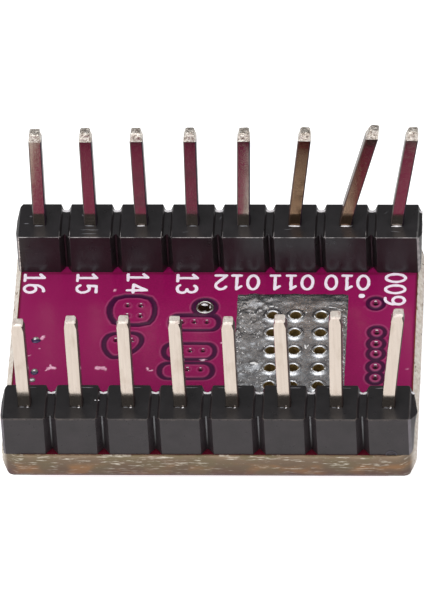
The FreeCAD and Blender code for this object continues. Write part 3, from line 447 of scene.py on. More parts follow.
def plastic_base(look, at, top, side):
    """Upper faces and flanks get separate colours, a painted difference of light and shade on one
    black plastic; then flow marks, dust and scratches.
    """
    normal = look.new("NewGeometry").outputs["Normal"]
    top_light_share = look.ramp(look.split(normal)["Z"], (0.55, 0), (0.9, 1))
    base = look.mix(top_light_share, side, top)
    flow = look.noise(at, scale=1.3, detail=5, rough=0.6)
    col = look.tint(base, look.ramp(flow, (0.3, 0.72), (0.72, 1.2)))
    scratch = look.noise(look.coords((350, 2600, 1400)), detail=6, rough=0.7, warp=0.4)
    col = look.mix(look.ramp(scratch, (0.68, 0), (0.76, 0.3)), col, (0.16, 0.15, 0.15))
    dust = look.ramp(look.noise(at, scale=26.0, detail=1), (0.76, 0), (0.8, 0.4))
    return look.mix(dust, col, (0.25, 0.23, 0.23))


def plastic(name, top, side):
    """Black glass-filled header plastic."""
    look = new_look(name)
    at = look.coords()
    return look.surface({
        "Base Color": plastic_base(look, at, top, side), "IOR": 1.5,
        "Roughness": look.ramp(look.noise(at, scale=2.2, detail=6, rough=0.65),
                               (0.3, 0.26), (0.75, 0.42)),
        "Normal": look.bump(look.noise(at, scale=14.0, detail=6, rough=0.65),
                            strength=0.35, depth=1.2e-5)})


def plastic_edge(name, top, side, row_y, bright):
    """The same plastic on the bevelled edges, whose front upper edges are pale: partly real wear,
    partly a painted highlight.
    """
    look = new_look(name)
    at = look.coords()
    where = look.split(at)
    high = look.ramp(look.minus(where["Z"], HOUSING_H - 1.0), (0.84, 0), (0.93, 1))
    ahead = look.ramp(look.minus(row_y, where["Y"]), (0.7, 0), (0.86, 1))
    worn = look.ramp(look.noise(at, scale=2.0, detail=6, rough=0.72),
                     (0.36, 0.05), (0.5, 0.4), (0.6, 1.0))
    worn_and_lit = look.times(look.times(high, ahead), worn)
    return look.surface({
        "Base Color": look.mix(worn_and_lit, plastic_base(look, at, top, side), bright),
        "Roughness": look.ramp(look.noise(at, scale=8.0), (0.3, 0.22), (0.7, 0.45)),
        "Normal": look.bump(look.noise(at, scale=12.0, detail=6, rough=0.7),
                            strength=0.5, depth=2e-5)})


def pin_metal(name, tint, side, foot, far):
    """Plated square wire: bright, faintly drawn along its length, with a painted dark reflection
    of the plastic at the foot. Side is the flank colour, painted shade, foot the brightness there;
    far adds the logic row's warm band."""
    look = new_look(name)
    at = look.coords()
    drawn = look.noise(look.coords((9000, 9000, 260)), detail=3)
    col = look.mix(look.ramp(drawn, (0.3, 0), (0.8, 1)), (0.76, 0.65, 0.56), (0.87, 0.76, 0.67))
    stain = look.noise(look.coords((1000, 1000, 400)), scale=1.6, detail=5)
    col = look.mix(look.ramp(stain, (0.52, 0), (0.75, 0.45)), col, (0.5, 0.38, 0.28))
    col = look.tint(col, tint)
    where = look.split(at)
    if far:
        band = look.ramp(look.times(look.minus(where["X"], 2.0), 0.15), (0.1, 0), (0.2, 1),
                         (0.48, 1), (0.62, 0.9), (0.76, 0.85), (0.92, 0))
        col = look.mix(band, col, look.tint(col, (0.72, 0.53, 0.38)))
    geometry = look.new("NewGeometry").outputs
    facing = look.split(geometry["Normal"])["X"]
    flank = look.ramp(facing, (0.22, 0), (0.36, 0.96))
    if far:
        left = look.ramp(look.times(facing, -1.0), (0.22, 0), (0.36, 0.75))
        flank = look.math("MAXIMUM", flank, left)
    # painted shade on the flanks when seen along Y; plated metal when seen from the ends of a row
    ray = look.split(geometry["Incoming"])["X"]
    flank = look.times(flank, look.ramp(look.times(ray, ray), (0.05, 1), (0.16, 0)))
    col = look.mix(flank, col, side)
    # painted dark reflection of the plastic at the foot
    height = look.times(look.minus(where["Z"], HOUSING_H), 0.5)
    col = look.tint(col, look.ramp(height, (0.36, foot), (0.41, 1.0)))
    rest = look.minus(1.0, flank)
    return look.surface({
        "Base Color": col, "Metallic": look.times(rest, 0.965 if far else 1.0),
        "Specular IOR Level": look.times(rest, 0.5),
        "Roughness": look.ramp(look.noise(at, scale=6.0), (0.3, 0.1), (0.75, 0.2)),
        "Normal": look.bump(drawn, strength=0.15, depth=6e-6)})


def pin_tip(name, dark, mid, light, depth, metal):
    """Sheared wire end: bright, torn, pitted."""
    look = new_look(name)
    at = look.coords()
    pits = look.noise(at, scale=5.5, rough=0.6, warp=0.8)
    return look.surface({
        "Base Color": look.ramp(pits, (0.3, dark), (0.42, mid), (0.58, light)),
        "Metallic": metal, "Roughness": 0.24,
        "Normal": look.bump(look.noise(at, scale=4.5, rough=0.6), strength=1.0, depth=depth)})


def tin(name, smoothest, roughest, light, dark, lump):
    look = new_look(name)
    at = look.coords()
    cloud = look.noise(at, scale=2.2, detail=5, rough=0.65)
    return look.surface({
        "Base Color": look.mix(look.ramp(cloud, (0.35, 0), (0.68, 1)), dark, light),
        "Metallic": 1.0,
        "Roughness": look.ramp(look.noise(at, scale=3.4, detail=5, rough=0.6),
                               (0.3, smoothest), (0.72, roughest)),
        "Normal": look.bump(look.noise(at, scale=11.0, detail=6, rough=0.7, warp=0.6),
                            strength=lump, depth=3e-5)})


def laminate_material():
    """Glass-epoxy board: olive resin with pale bundles at the sawn long edges,
    warm blotches, purple-brown at the bottom, and cream torn glass at the ends."""
    look = new_look("laminate")
    down = look.times(look.split(look.coords())["Z"], -1 / BOARD_T)  # 0 at the top, 1 below
    wobble = look.math("MULTIPLY_ADD", look.noise(look.coords((900, 900, 2000))), 0.22, -0.11)
    level = look.math("ADD", down, wobble)
    resin = look.ramp(level, (0.0, (0.46, 0.36, 0.25)), (0.16, (0.31, 0.235, 0.155)),
                      (0.45, (0.25, 0.19, 0.11)), (0.68, (0.25, 0.165, 0.09)),
                      (0.86, (0.2, 0.12, 0.095)), (0.98, (0.13, 0.07, 0.07)))
    blotch = look.noise(look.coords((520, 520, 900)), detail=2, rough=0.5)
    warm = look.times(look.ramp(blotch, (0.48, 0), (0.6, 0.95)),
                      look.ramp(level, (0.3, 0), (0.5, 1), (0.8, 0.7), (0.95, 0)))
    col = look.mix(warm, resin, (0.52, 0.3, 0.11))
    olive = look.noise(look.coords((700, 700, 1100)), detail=2, rough=0.5)
    col = look.mix(look.ramp(olive, (0.46, 0), (0.62, 0.75)), col, (0.26, 0.23, 0.12))
    col = look.tint(col, look.ramp(level, (0.0, (0.66, 0.6, 0.54)), (0.3, (0.54, 0.46, 0.44)),
                                   (0.6, (0.46, 0.38, 0.4)), (1.0, (0.42, 0.3, 0.4))))
    dash = look.noise(look.coords((1500, 1500, 11000)), detail=3, rough=0.6)
    near_top = look.ramp(level, (0.0, 1), (0.42, 1), (0.62, 0.35), (1.0, 0.25))
    bundles = look.times(look.ramp(dash, (0.57, 0), (0.7, 0.8)), near_top)
    col = look.mix(bundles, col, (0.8, 0.74, 0.62))
    fine = look.noise(look.coords((2500, 2500, 26000)), rough=0.7)
    col = look.mix(look.ramp(fine, (0.35, 0.28), (0.55, 0)), col, (0.13, 0.09, 0.06))
    torn = look.ramp(look.noise(look.coords((900, 3200, 5200)), detail=5, rough=0.68),
                     (0.3, (0.5, 0.42, 0.34)), (0.46, (0.7, 0.62, 0.54)),
                     (0.66, (0.84, 0.79, 0.72)))
    return look.surface({
        "Base Color": look.mix(look.attribute("torn"), col, torn), "Roughness": 0.55,
        "Normal": look.bump(dash, strength=0.5, depth=3e-5)})


def web_material():
    """Web faces, paler toward the top where they catch the light."""
    look = new_look("web_front")
    at = look.coords()
    lit = look.ramp(look.times(look.split(at)["Z"], 0.4), (0.2, (0.012, 0.011, 0.012)),
                    (0.42, (0.07, 0.07, 0.075)), (0.7, (0.17, 0.17, 0.18)),
                    (0.95, (0.12, 0.12, 0.13)))
    mottle = look.ramp(look.noise(at, scale=6.0, detail=3), (0.3, 0.75), (0.7, 1.1))
    return look.surface({"Base Color": look.tint(lit, mottle), "Roughness": 0.35})


def linear(rgb):
    """A linear colour from 0-255 display values."""
    return tuple((c / 255) / 12.92 if c <= 10 else ((c / 255 + 0.055) / 1.055) ** 2.4
                 for c in rgb)


def plain(name, dark, light, rough, metallic, scale, lump=0.25, stretch=1000):
    look = new_look(name)
    at = look.coords((1000, 1000, stretch))
    cloud = look.noise(at, scale=scale, detail=5, rough=0.6)
    return look.surface({
        "Base Color": look.ramp(cloud, (0.3, linear(dark)), (0.7, linear(light))),
        "Metallic": metallic,
        "Roughness": look.ramp(look.noise(at, scale=scale * 2), (0.3, rough[0]), (0.7, rough[1])),
        "Normal": look.bump(look.noise(at, scale=scale * 3, detail=5),
                            strength=lump, depth=1e-5)})


# name: dark and light display colours, roughness range, metallic, noise scale, then
# where needed bump strength and Z stretch
PLAIN = {name: plain(name, *row) for name, row in {
    "painted_glint_white": ((196, 192, 196), (246, 244, 248), (0.25, 0.4), 0.0, 6.0),
    # grey marks: scratches on the logic housing and dimmer painted highlights
    "web_face": ((70, 70, 74), (128, 128, 134), (0.25, 0.4), 0.0, 3.0),
    "copper_foil": ((150, 82, 54), (186, 108, 74), (0.25, 0.4), 1.0, 4.0),
    "via_plating": ((84, 66, 38), (136, 112, 64), (0.4, 0.6), 0.1, 6.0),
    "test_bore": ((52, 34, 22), (96, 66, 40), (0.3, 0.5), 0.3, 6.0),
    "legend_ink": ((248, 234, 250), (255, 243, 255), (0.45, 0.6), 0.0, 10.0),
    "mould_compound": ((26, 26, 28), (40, 40, 42), (0.5, 0.7), 0.0, 22.0, 0.4),
    "alumina": ((206, 204, 198), (232, 230, 225), (0.55, 0.75), 0.0, 14.0),
    "overcoat": ((18, 18, 20), (32, 32, 34), (0.22, 0.4), 0.0, 5.0),
    "capacitor_ceramic": ((126, 96, 66), (158, 124, 88), (0.4, 0.6), 0.0, 9.0),
    "silicon": ((52, 54, 60), (70, 72, 80), (0.15, 0.25), 0.6, 6.0),
    "carbon_track": ((20, 20, 20), (34, 33, 32), (0.35, 0.55), 0.0, 12.0),
    "trimmer_metal": ((176, 172, 162), (214, 210, 202), (0.18, 0.34), 1.0, 6.0, 0.3, 4000),
    "spring_brass": ((170, 130, 62), (206, 166, 96), (0.2, 0.36), 1.0, 6.0),
    "dark_indigo_patch": ((34, 20, 58), (58, 26, 84), (0.15, 0.3), 0.0, 4.0),
    "pale_specks_and_glints": ((222, 220, 220), (250, 250, 250), (0.2, 0.4), 0.0, 6.0),
    "worn_corner": ((150, 138, 132), (236, 228, 220), (0.3, 0.5), 0.0, 5.0),
    "pale_chamfer": ((84, 76, 80), (168, 156, 158), (0.3, 0.45), 0.0, 4.0),
    "dim_chamfer": ((78, 72, 78), (112, 104, 112), (0.3, 0.45), 0.0, 3.0),
    "gate_mark": ((44, 40, 46), (70, 66, 74), (0.3, 0.45), 0.0, 5.0),
}.items()}
# A pale material that paints highlights: every use of it is a painted glint.
GLINT = PLAIN["painted_glint_white"]

MASK = mask_material("solder_mask", marked=True)
MASK_LOW = mask_material("solder_mask_low", marked=False)
# Top and flank colours of the header plastic; their difference is painted light, the power row's
# flanks lighter as a painted reflection of the pale floor in front.
LOGIC_LIT_COLOURS = {"top": (0.019, 0.017, 0.019), "side": (0.0145, 0.0115, 0.0125)}
POWER_LIT_SIDE = (0.0235, 0.018, 0.0205)
LOGIC_PLASTIC = plastic("header_plastic_logic", **LOGIC_LIT_COLOURS)
# Bevelled edges: the pale front top edge is partly wear, partly a painted highlight; the power
# row's brownish top colour there is painted light on its rounded edge.
LOGIC_EDGE = plastic_edge("header_plastic_logic_edge", row_y=ROW_Y, bright=(0.5, 0.47, 0.47),
                          **LOGIC_LIT_COLOURS)
POWER_PLASTIC = plastic("header_plastic_power", top=(0.017, 0.0155, 0.017), side=POWER_LIT_SIDE)
POWER_EDGE = plastic_edge("header_plastic_power_edge", top=(0.03, 0.021, 0.019),
                          side=POWER_LIT_SIDE, row_y=-ROW_Y, bright=(0.07, 0.055, 0.05))
WEB_FRONT = web_material()
# Per row: the logic row's darker tint is painted shade, the flank colours are painted shade, and
# foot darkens the pin foot as a painted reflection of the plastic.
PIN_LOOKS = {
    "logic": [pin_metal("pin_metal_logic", tint=(0.7, 0.68, 0.66), side=(0.022, 0.012, 0.03),
                        foot=0.5, far=True),
              pin_tip("pin_tip", dark=(0.16, 0.12, 0.1), mid=(0.6, 0.52, 0.45),
                      light=(0.93, 0.87, 0.8), depth=0.00014, metal=0.85)],
    "power": [pin_metal("pin_metal", tint=(1, 1, 1), side=(0.05, 0.03, 0.03),
                        foot=0.42, far=False),
              pin_tip("pin_tip_power", dark=(0.55, 0.41, 0.37), mid=(0.8, 0.69, 0.62),
                      light=(0.92, 0.85, 0.77), depth=0.00005, metal=0.35)],
}
TIN = tin("hot_tin", smoothest=0.12, roughest=0.32, light=(0.8, 0.82, 0.85),
          dark=(0.44, 0.45, 0.48), lump=0.6)
SOLDER = tin("solder", smoothest=0.1, roughest=0.26, light=(0.68, 0.67, 0.66),
             dark=(0.45, 0.44, 0.43), lump=0.25)
LAMINATE = laminate_material()

# ------------------------------------------------- looks of the CAD pieces
LOOK_GROUPS = (
    (LAMINATE, "pcb_laminate"),
    (MASK_LOW, "solder_mask_component_side"),
    (PLAIN["copper_foil"],
     "copper_pin_side copper_component_side header_hole_plating signal_via_plating"),
    (PLAIN["via_plating"], "thermal_via_plating"),
    (PLAIN["test_bore"], "test_via_plating"),
    (SOLDER, "solder_filled_vias header_solder_logic header_solder_power driver_ic_slug_solder "
             "driver_ic_lead_solder component_pads passive_solder_fillets "
             "trimmer_solder_fillets"),
    (TIN, "driver_ic_leads driver_ic_thermal_slug sense_resistor_end_caps "
          "supply_capacitor_end_caps small_capacitor_end_caps chip_resistor_end_caps "
          "trimmer_terminals"),
    (PLAIN["silicon"], "driver_ic_die"),
    (PLAIN["mould_compound"], "driver_ic_body"),
    (PLAIN["alumina"], "sense_resistor_bodies chip_resistor_bodies trimmer_base"),
    (PLAIN["overcoat"], "sense_resistor_overcoats chip_resistor_overcoats"),
    (PLAIN["capacitor_ceramic"], "supply_capacitor_bodies small_capacitor_bodies"),
    (PLAIN["carbon_track"], "trimmer_resistive_track"),
    (PLAIN["trimmer_metal"], "trimmer_rivet trimmer_rotor"),
    (PLAIN["spring_brass"], "trimmer_wiper"),
)
LOOKS = {name: look for look, names in LOOK_GROUPS for name in names.split()}
for name, obj in NODES.items():
    if name not in LOOKS:
        continue
    if not obj.material_slots:
        obj.data.materials.append(LOOKS[name])
    for slot in obj.material_slots:
        slot.material = LOOKS[name]

EDGE_BREAKS = {
    "driver_ic_body": 0.05, "sense_resistor_end_caps": 0.03, "supply_capacitor_end_caps": 0.05,
    "small_capacitor_end_caps": 0.04, "chip_resistor_end_caps": 0.025, "trimmer_base": 0.04,
    "trimmer_terminals": 0.02,
}
for name, width in EDGE_BREAKS.items():
    weld = NODES[name].modifiers.new("weld", "WELD")
    weld.merge_threshold = 1e-7
    bevel = NODES[name].modifiers.new("edge_break", "BEVEL")
    bevel.width = width * MM
    bevel.segments = 2
    bevel.limit_method = "ANGLE"
    bevel.angle_limit = math.radians(30)
    bevel.use_clamp_overlap = True
    bevel.harden_normals = False

# ---------------------------------------------------- solder mask, pin side
VIAS = [(-4.45, 2.81), (-3.79, 2.81), (-4.43, 2.09), (-3.78, 2.09), (-4.91, 0.37),
        (-4.13, 0.37), (-1.70, 1.65), (-1.08, 1.67), (-0.46, 1.65), (-1.19, -0.35),
        (-0.56, -0.35), (-1.27, -1.66), (-0.62, -1.68)]
COLUMN = [(7.87, 2.98), (7.99, 0.94), (7.98, 0.14), (7.99, -0.56), (8.0, -1.47), (8.01, -2.24)]
TEST_X, TEST_Y = -0.6, 2.69
DOTS = [(-8.87, 0.4, 0.8), (-8.81, -1.82, 1.0)]  # x, y, scale of the X distance

# Clearance slots round copper islands: (outer outline, inner outline)
SLOTS = [(cut_corners(outer, times), cut_corners(inner, times)) for times, outer, inner in (
    (1, [(-5.5, 2.12), (-5.08, 1.3), (-3.36, 1.3), (-2.95, 1.9), (-2.93, 2.88), (-3.38, 3.6),
         (-5.04, 3.6), (-5.5, 2.86)],
     [(-5.16, 2.12), (-4.84, 1.58), (-3.5, 1.58), (-3.24, 2.0), (-3.22, 2.78), (-3.54, 3.33),
      (-4.86, 3.33), (-5.16, 2.8)]),
    (2, [(-5.3, .95), (-5.64, .4), (-5.62, -.2), (-5.36, -.75), (-4.95, -1.05), (-4.05, -.68),
         (-3.55, -.08), (-3.44, .5), (-3.7, .92), (-4.2, 1.02)],
     [(-5.12, .72), (-5.36, .3), (-5.34, -.15), (-5.14, -.55), (-4.9, -.76), (-4.2, -.44),
      (-3.82, .0), (-3.73, .42), (-3.9, .7), (-4.3, .78)]),
    (2, pill(-2.4, .96, .28, 2.28, .5, .6), pill(-2.13, 1.17, .0, 1.98, .34, .38)),
    (2, pill(-2.64, -1.08, .16, .26, .52, .62), pill(-2.36, -.84, -.1, .04, .34, .4)),
    (2, pill(-2.8, -2.42, .12, -1.1, .55, .62), pill(-2.5, -2.22, -.17, -1.33, .36, .4)),
)]

# Pale marks: the three clusters in a row near y = -1.6, one pin pitch apart, are painted
# reflections; the rest are flux stains. x, y, half length, half width, turn in radians
FLUX_AND_GLARE_MARKS = [
    (-8.12, -1.62, .13, .1, .5), (-7.88, -1.6, .14, .07, -.2), (-8.05, -1.44, .05, .1, .2),
    (-8.24, -1.76, .07, .035, .7), (-5.7, -1.59, .15, .11, .05), (-5.42, -1.62, .15, .1, -.3),
    (-5.3, -1.7, .05, .07, 0), (-3.24, -1.66, .05, .1, .3), (-3.06, -1.76, .1, .03, .1),
    (-8.55, .5, .17, .085, .95), (-8.655, -.242, .045, .035, 0), (-9.16, -.75, .1, .02, .5),
    (-6.47, 1.94, .05, .035, 0), (-5.576, 4.19, .04, .03, 0), (-5.143, 3.864, .06, .03, .3),
    (-4.755, 4.74, .035, .03, 0), (.33, .187, .06, .04, 0), (-.534, -.984, .17, .035, 0),
    (9.62, -1.6, .02, .12, 0),
]
FOIL_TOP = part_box("copper_pin_side")[1].z / MM
CHANNEL = min(0.045, max(0.012, -FOIL_TOP - 0.006))  # depth of the clearance slots


def test_distance(x, y):
    return np.hypot(x - TEST_X, y - TEST_Y)


def clearance(x, y):
    """How deep a point is inside a clearance slot; negative on copper."""
    out = np.full(np.shape(x), -9.0)
    for outer, inner in SLOTS:
        slot = np.minimum(inside_polygon(outer, x, y), -inside_polygon(inner, x, y))
        out = np.maximum(out, slot)
    r = test_distance(x, y)
    out = np.maximum(out, np.minimum(0.69 - r, r - 0.42))
    r = nearest(x, y, COLUMN)
    return np.maximum(out, np.minimum(0.52 - r, r - 0.28))


def via_rim(x, y):
    return np.minimum(nearest(x, y, VIAS), nearest(x, y, COLUMN) * 0.8)


def dot_rim(x, y):
    return np.min([np.hypot((x - cx) * scale, y - cy + 0.06) for cx, cy, scale in DOTS], axis=0)


# Pale marks on the lacquer: partly flux stains, partly painted reflections.
def flux_and_glare(x, y):
    out = np.zeros(np.shape(x))
    for cx, cy, length, width, turn in FLUX_AND_GLARE_MARKS:
        u, v = turned(0, 0, x - cx, y - cy, -turn)
        reach = np.hypot(u / length, v / width) + 0.3 * vnoise(x, y, 0.07, 8)
        out = np.maximum(out, smooth(1.25, 0.8, reach) * (0.8 + 0.35 * vnoise(x, y, 0.1, 9)))
    return np.clip(out, 0, 1)


def mask_top(x, y):
    c = clearance(x, y)
    z = -CHANNEL * smooth(-0.02, 0.07, c) + 0.006 * np.exp(-((c + 0.06) / 0.05) ** 2)
    v = via_rim(x, y)
    z += 0.014 * np.exp(-((v - 0.19) / 0.05) ** 2) - 0.12 * smooth(0.125, 0.06, v)
    z += -0.07 * smooth(0.2, 0.12, dot_rim(x, y))
    z += 0.0022 * vnoise(x, y, 0.9, 3) + 0.0012 * vnoise(x, y, 0.33, 4)
    z += 0.008 * smooth(0.62, 0.52, test_distance(x, y))
    edge = np.minimum(MASK_X - np.abs(x), MASK_Y - np.abs(y))
    return z - 0.012 * smooth(0.12, 0.0, edge) + 0.03 * flux_and_glare(x, y)


def mask_inside(x, y):
    depth = inside_box(x, y, -MASK_X, -MASK_Y, MASK_X, MASK_Y, MASK_R)
    depth = depth + 0.012 * vnoise(x, y, 0.35, 5) * (np.abs(x) > 9.5)
    depth = np.minimum(depth, -inside_box(x, y, *HEAT, 0.05) - 0.006 * vnoise(x, y, 0.3, 6))
    return np.minimum(depth, test_distance(x, y) - 0.43)


def painted_edge_highlight(x, y):
    """Painted highlights: pale lines along the edges of the slots and round the vias."""
    slots = 0.5 * np.exp(-((clearance(x, y) + 0.05) / 0.028) ** 2)
    vias = 0.3 * np.exp(-((via_rim(x, y) - 0.2) / 0.03) ** 2)
    return slots * (0.75 + 0.45 * vnoise(x, y, 0.5, 9)) + vias


# Painted shade: near black inside the via openings and in the dimples of the two dots.
def painted_hole_shade(x, y):
    return np.maximum(smooth(0.115, 0.08, via_rim(x, y)),
                      0.93 * smooth(0.22, 0.13, dot_rim(x, y)))


def painted_shade_and_rims(x, y):
    """Dark marks: painted shade along the -Y edge under the notches of the power housing, a thin
    painted shadow at y = 5.1 along the foot of the logic housing, and a dark rim at the two ends
    of the lacquer.
    """
    ends = 0.75 * smooth(0.1, 0.02, MASK_X - np.abs(x))
    line = 0.55 * smooth(0.12, 0.0, np.abs(y - 5.1) - 0.02)
    return np.maximum(np.maximum(smooth(-6.6, -7.0, y), ends), line)


mask = sheet(
    "solder_mask_pin_side_relief",
    grid_lines((-9.95, -9.3, .1), (-9.3, -7.6, .04), (-7.6, -5.95, .15), (-5.95, 1.0, .045),
               (1.0, 6.5, .25), (6.5, 7.35, .15), (7.35, 8.65, .045), (8.65, 9.6, .15),
               (9.6, 9.95, .07)),
    grid_lines((-7.66, -6.7, .12), (-6.7, -5.3, .35), (-5.3, -2.9, .15), (-2.9, 3.75, .045),
               (3.75, 5.3, .12), (5.3, 6.7, .35), (6.7, 7.66, .12)),
    mask_inside, mask_top, -0.1, MASK,
    {"clear": lambda x, y: smooth(-0.015, 0.03, clearance(x, y)), "edge": painted_edge_highlight,
     "hole": painted_hole_shade, "flux_and_glare": flux_and_glare, "shade": painted_shade_and_rims})
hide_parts("solder_mask_pin_side")


def mask_glints():
    """Painted highlights beside the vias, dots and test point, as pebbles items."""
    rng = np.random.default_rng(12)
    marks = []
    for n, (x, y) in enumerate(VIAS):
        half_x = 0.06 + rng.uniform(-.012, .012)
        marks.append(((x - 0.005, y + 0.125, 0.004), (half_x, 0.022, 0.02),
                      rng.uniform(-.1, .1), 500 + n))
        if n % 2:
            marks.append(((x + 0.07, y - 0.1, 0.0), (0.03, 0.02, 0.012), 0.5, 520 + n))
    for n, (x, y) in enumerate(COLUMN):
        marks.append(((x - 0.01, y + 0.15, 0.004), (0.075, 0.035, 0.025),
                      rng.uniform(-.1, .1), 540 + n))
    return marks + [
        ((-8.9, 0.42, 0.03), (0.07, 0.08, 0.04), 0, 560),
        ((-8.825, -1.8, 0.03), (0.055, 0.065, 0.04), 0, 561),
        ((-8.895, -2.44, 0.0), (0.13, 0.085, 0.05), 0.1, 562),
        ((-0.55, -1.06, -0.03), (0.16, 0.03, 0.04), 0, 563),
        ((TEST_X - .02, TEST_Y + 0.24, -0.07), (0.2, 0.075, 0.06), 0, 580),
        ((TEST_X, TEST_Y - 0.29, -0.03), (0.17, 0.04, 0.04), 0, 581),
        ((TEST_X + .26, TEST_Y + 0.08, -0.06), (0.04, 0.12, 0.05), 0, 582)]


def test_point_rim():
    """A slightly uneven solder ring round the test point."""
    profile = [(0.335, -0.03), (0.34, 0.01), (0.365, 0.032), (0.4, 0.034), (0.44, 0.018),
               (0.455, -0.03)]  # radius, level
    sides, wobble, seed = 48, 0.01, 3
    rng = np.random.default_rng(seed)
    points = []
    for radius, z in profile:
        for k in range(sides):
            a = 2 * math.pi * k / sides
            r = radius * (1 + wobble * math.sin(3 * a + seed) + wobble * rng.uniform(-.5, .5))
            points.append((TEST_X + r * math.cos(a), TEST_Y + r * math.sin(a), z))
    faces = tube(0, len(profile), sides, closed=True)
    obj = new_object("test_point_rim", points, faces, [SOLDER], 60)
    face_outward(obj)
    return obj


# Dark indigo patches over the two solder-filled dots, under their glints.
dark_dot_patches = [((-8.87, 0.33, -0.02), (0.25, 0.2, 0.06), 0.1, 570),
         ((-8.81, -1.88, -0.02), (0.2, 0.17, 0.055), 0.1, 571)]
pebbles("mask_dark_patches", dark_dot_patches, PLAIN["dark_indigo_patch"])
pebbles("mask_glints", mask_glints(), GLINT)
test_point_rim()


# ------------------------------------------------------------ bare heat pad
def heat_hole(x, y):
    """Distance and direction from the nearest heat via."""
    distance, direction = np.full(np.shape(x), 9.0), np.zeros(np.shape(x))
    for cx, cy in HEAT_VIAS:
        r = np.hypot(x - cx, y - cy)
        closer = r < distance
        distance = np.where(closer, r, distance)
        direction = np.where(closer, np.arctan2(y - cy, x - cx), direction)
    return distance, direction


def heat_top(x, y):
    r, turn = heat_hole(x, y)
    lumps = smooth(3.0, 2.2, x)
    grain = smooth(5.75, 6.1, x)
    z = (0.03 + (0.012 + 0.022 * lumps) * vnoise(x, y, 0.55, 11)
         + (0.006 + 0.014 * lumps) * vnoise(x, y, 0.26, 12)
         + (0.0025 + 0.005 * lumps + 0.008 * grain) * vnoise(x, y, 0.12, 13))
    z += 0.02 * np.maximum(0, vnoise(x * 0.3, y, 0.26, 14)) * smooth(2.5, 3.0, y)
    front = 0.5 - 0.5 * np.sin(turn)  # 1 on the -Y side of a via, where its rim is heavier
    rim = np.exp(-((r - 0.335 - 0.035 * front) / (0.06 + 0.035 * front)) ** 2)
    z += (0.045 + 0.045 * front) * rim - 0.06 * smooth(0.3, 0.25, r)
    z -= 0.03 * smooth(0.14, 0.0, inside_box(x, y, *HEAT))
    return z + 0.07 * np.exp(-(((x - 2.0) / 0.32) ** 2 + ((y + 1.35) / 0.2) ** 2))


def heat_inside(x, y):
    depth = inside_box(x, y, *HEAT, 0.05) + 0.02 * vnoise(x, y, 0.22, 6)
    return np.minimum(depth, heat_hole(x, y)[0] - 0.25)


heat = sheet("heat_pad_tin_relief", grid_lines((HEAT[0] - .06, HEAT[2] + .06, .04)),
             grid_lines((HEAT[1] - .06, HEAT[3] + .06, .04)), heat_inside, heat_top, -0.024,
             TIN, shade=60)
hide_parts("heat_pad_tin")

# Scattered specks, painted glints on the lumpy tin: count, x from, x to, crowding toward the first
# x, then the ranges of y, half length and half width
SPECK_FIELDS = [
    (110, 1.08, 2.58, 1.5, (-3.4, 2.5), (.018, .05), (.014, .03)),
    (46, 6.43, 6.27, 2, (-3.4, 3.2), (.018, .045), (.014, .03)),
    (60, 1.4, 6.2, 1, (-3.4, -1.6), (.018, .05), (.012, .028)),
    (34, 2.3, 6.2, 1, (-1.4, 2.9), (.018, .04), (.012, .024)),
]
# Single specks, pale blobs and scratches: x, y, half length, half width, turn
SPECKS = [
    (1.98, -1.3, .15, .08, .1), (2.12, -1.38, .1, .06, .5), (2.7, 2.72, .13, .035, .2),
    (2.95, 2.66, .1, .02, -.5), (5.75, 2.66, .22, .018, -.12), (6.1, 2.5, .16, .016, -.4),
    (4.5, -.1, .05, .14, .2), (4.62, -.02, .03, .1, -.3), (1.75, 1.2, .05, .03, 0),
    (4.45, 2.3, .06, .03, 1),
]


def heat_specks():
    rng = np.random.default_rng(91)
    specks = []

    def speck(x, y, length, width, turn):
        on_pad = abs(x - (HEAT[0] + HEAT[2]) / 2) < 2.7 and abs(y) < 3.55
        if on_pad and heat_hole(x, y)[0] > 0.3:
            specks.append(((x, y, float(heat_top(x, y)) - 0.004),
                           (length, width, 0.6 * min(length, width)), turn, 700 + len(specks)))

    for count, start, end, power, ys, lengths, widths in SPECK_FIELDS:
        for _ in range(count):
            speck(start + (end - start) * rng.random() ** power, rng.uniform(*ys),
                  rng.uniform(*lengths), rng.uniform(*widths), rng.uniform(0, 3))
    for row in SPECKS:
        speck(*row)
    for hole_x, hole_y in HEAT_VIAS:  # an arc of specks on the -Y side of each via, a painted rim highlight
        for k in range(6):
            a = math.radians(-158 + 27 * k + rng.uniform(-6, 6))
            speck(hole_x + 0.35 * math.cos(a), hole_y + 0.35 * math.sin(a),
                  rng.uniform(.07, .1), rng.uniform(.02, .034), a + math.pi / 2)
    return specks


pebbles("heat_pad_specks", heat_specks(), PLAIN["pale_specks_and_glints"])


# ------------------------------------------------------------------- legend
def arc(cx, cy, rx, ry, start, end, steps):
    angles = [math.radians(start + (end - start) * k / steps) for k in range(steps + 1)]
    return [(cx + rx * math.cos(t), cy + ry * math.sin(t)) for t in angles]


# Strokes of each digit in a cell 1 high and about 0.56 wide
GLYPH_WIDTH = 0.56
GLYPHS = {
    "0": [arc(.28, .5, .28, .5, 0, 360, 28)],
    "1": [[(.06, .78), (.3, 1.0), (.3, 0.0)], [(.08, 0), (.52, 0)]],
    "2": [arc(.28, .72, .27, .28, 160, -25, 12) + [(.02, .0), (.56, .0)]],
    "3": [arc(.26, .75, .26, .25, 150, -80, 12), arc(.26, .26, .29, .26, 80, -150, 14)],
    "4": [[(.42, 0), (.42, 1.0), (.0, .3), (.58, .3)]],
    "5": [[(.52, 1.0), (.08, 1.0), (.04, .56)] + arc(.27, .32, .28, .32, 115, -150, 16)],
    "6": [arc(.28, .3, .27, .3, 0, 360, 24), [(.02, .36)] + arc(.42, .5, .41, .5, 165, 85, 8)],
    "9": [arc(.28, .7, .27, .3, 0, 360, 24), [(.54, .64)] + arc(.14, .5, .41, .5, -15, -95, 8)],
}
SIDEWAYS = ((0, -1), (1, 0))  # direction of reading, direction of the digits' tops
INVERTED = ((-1, 0), (0, -1))
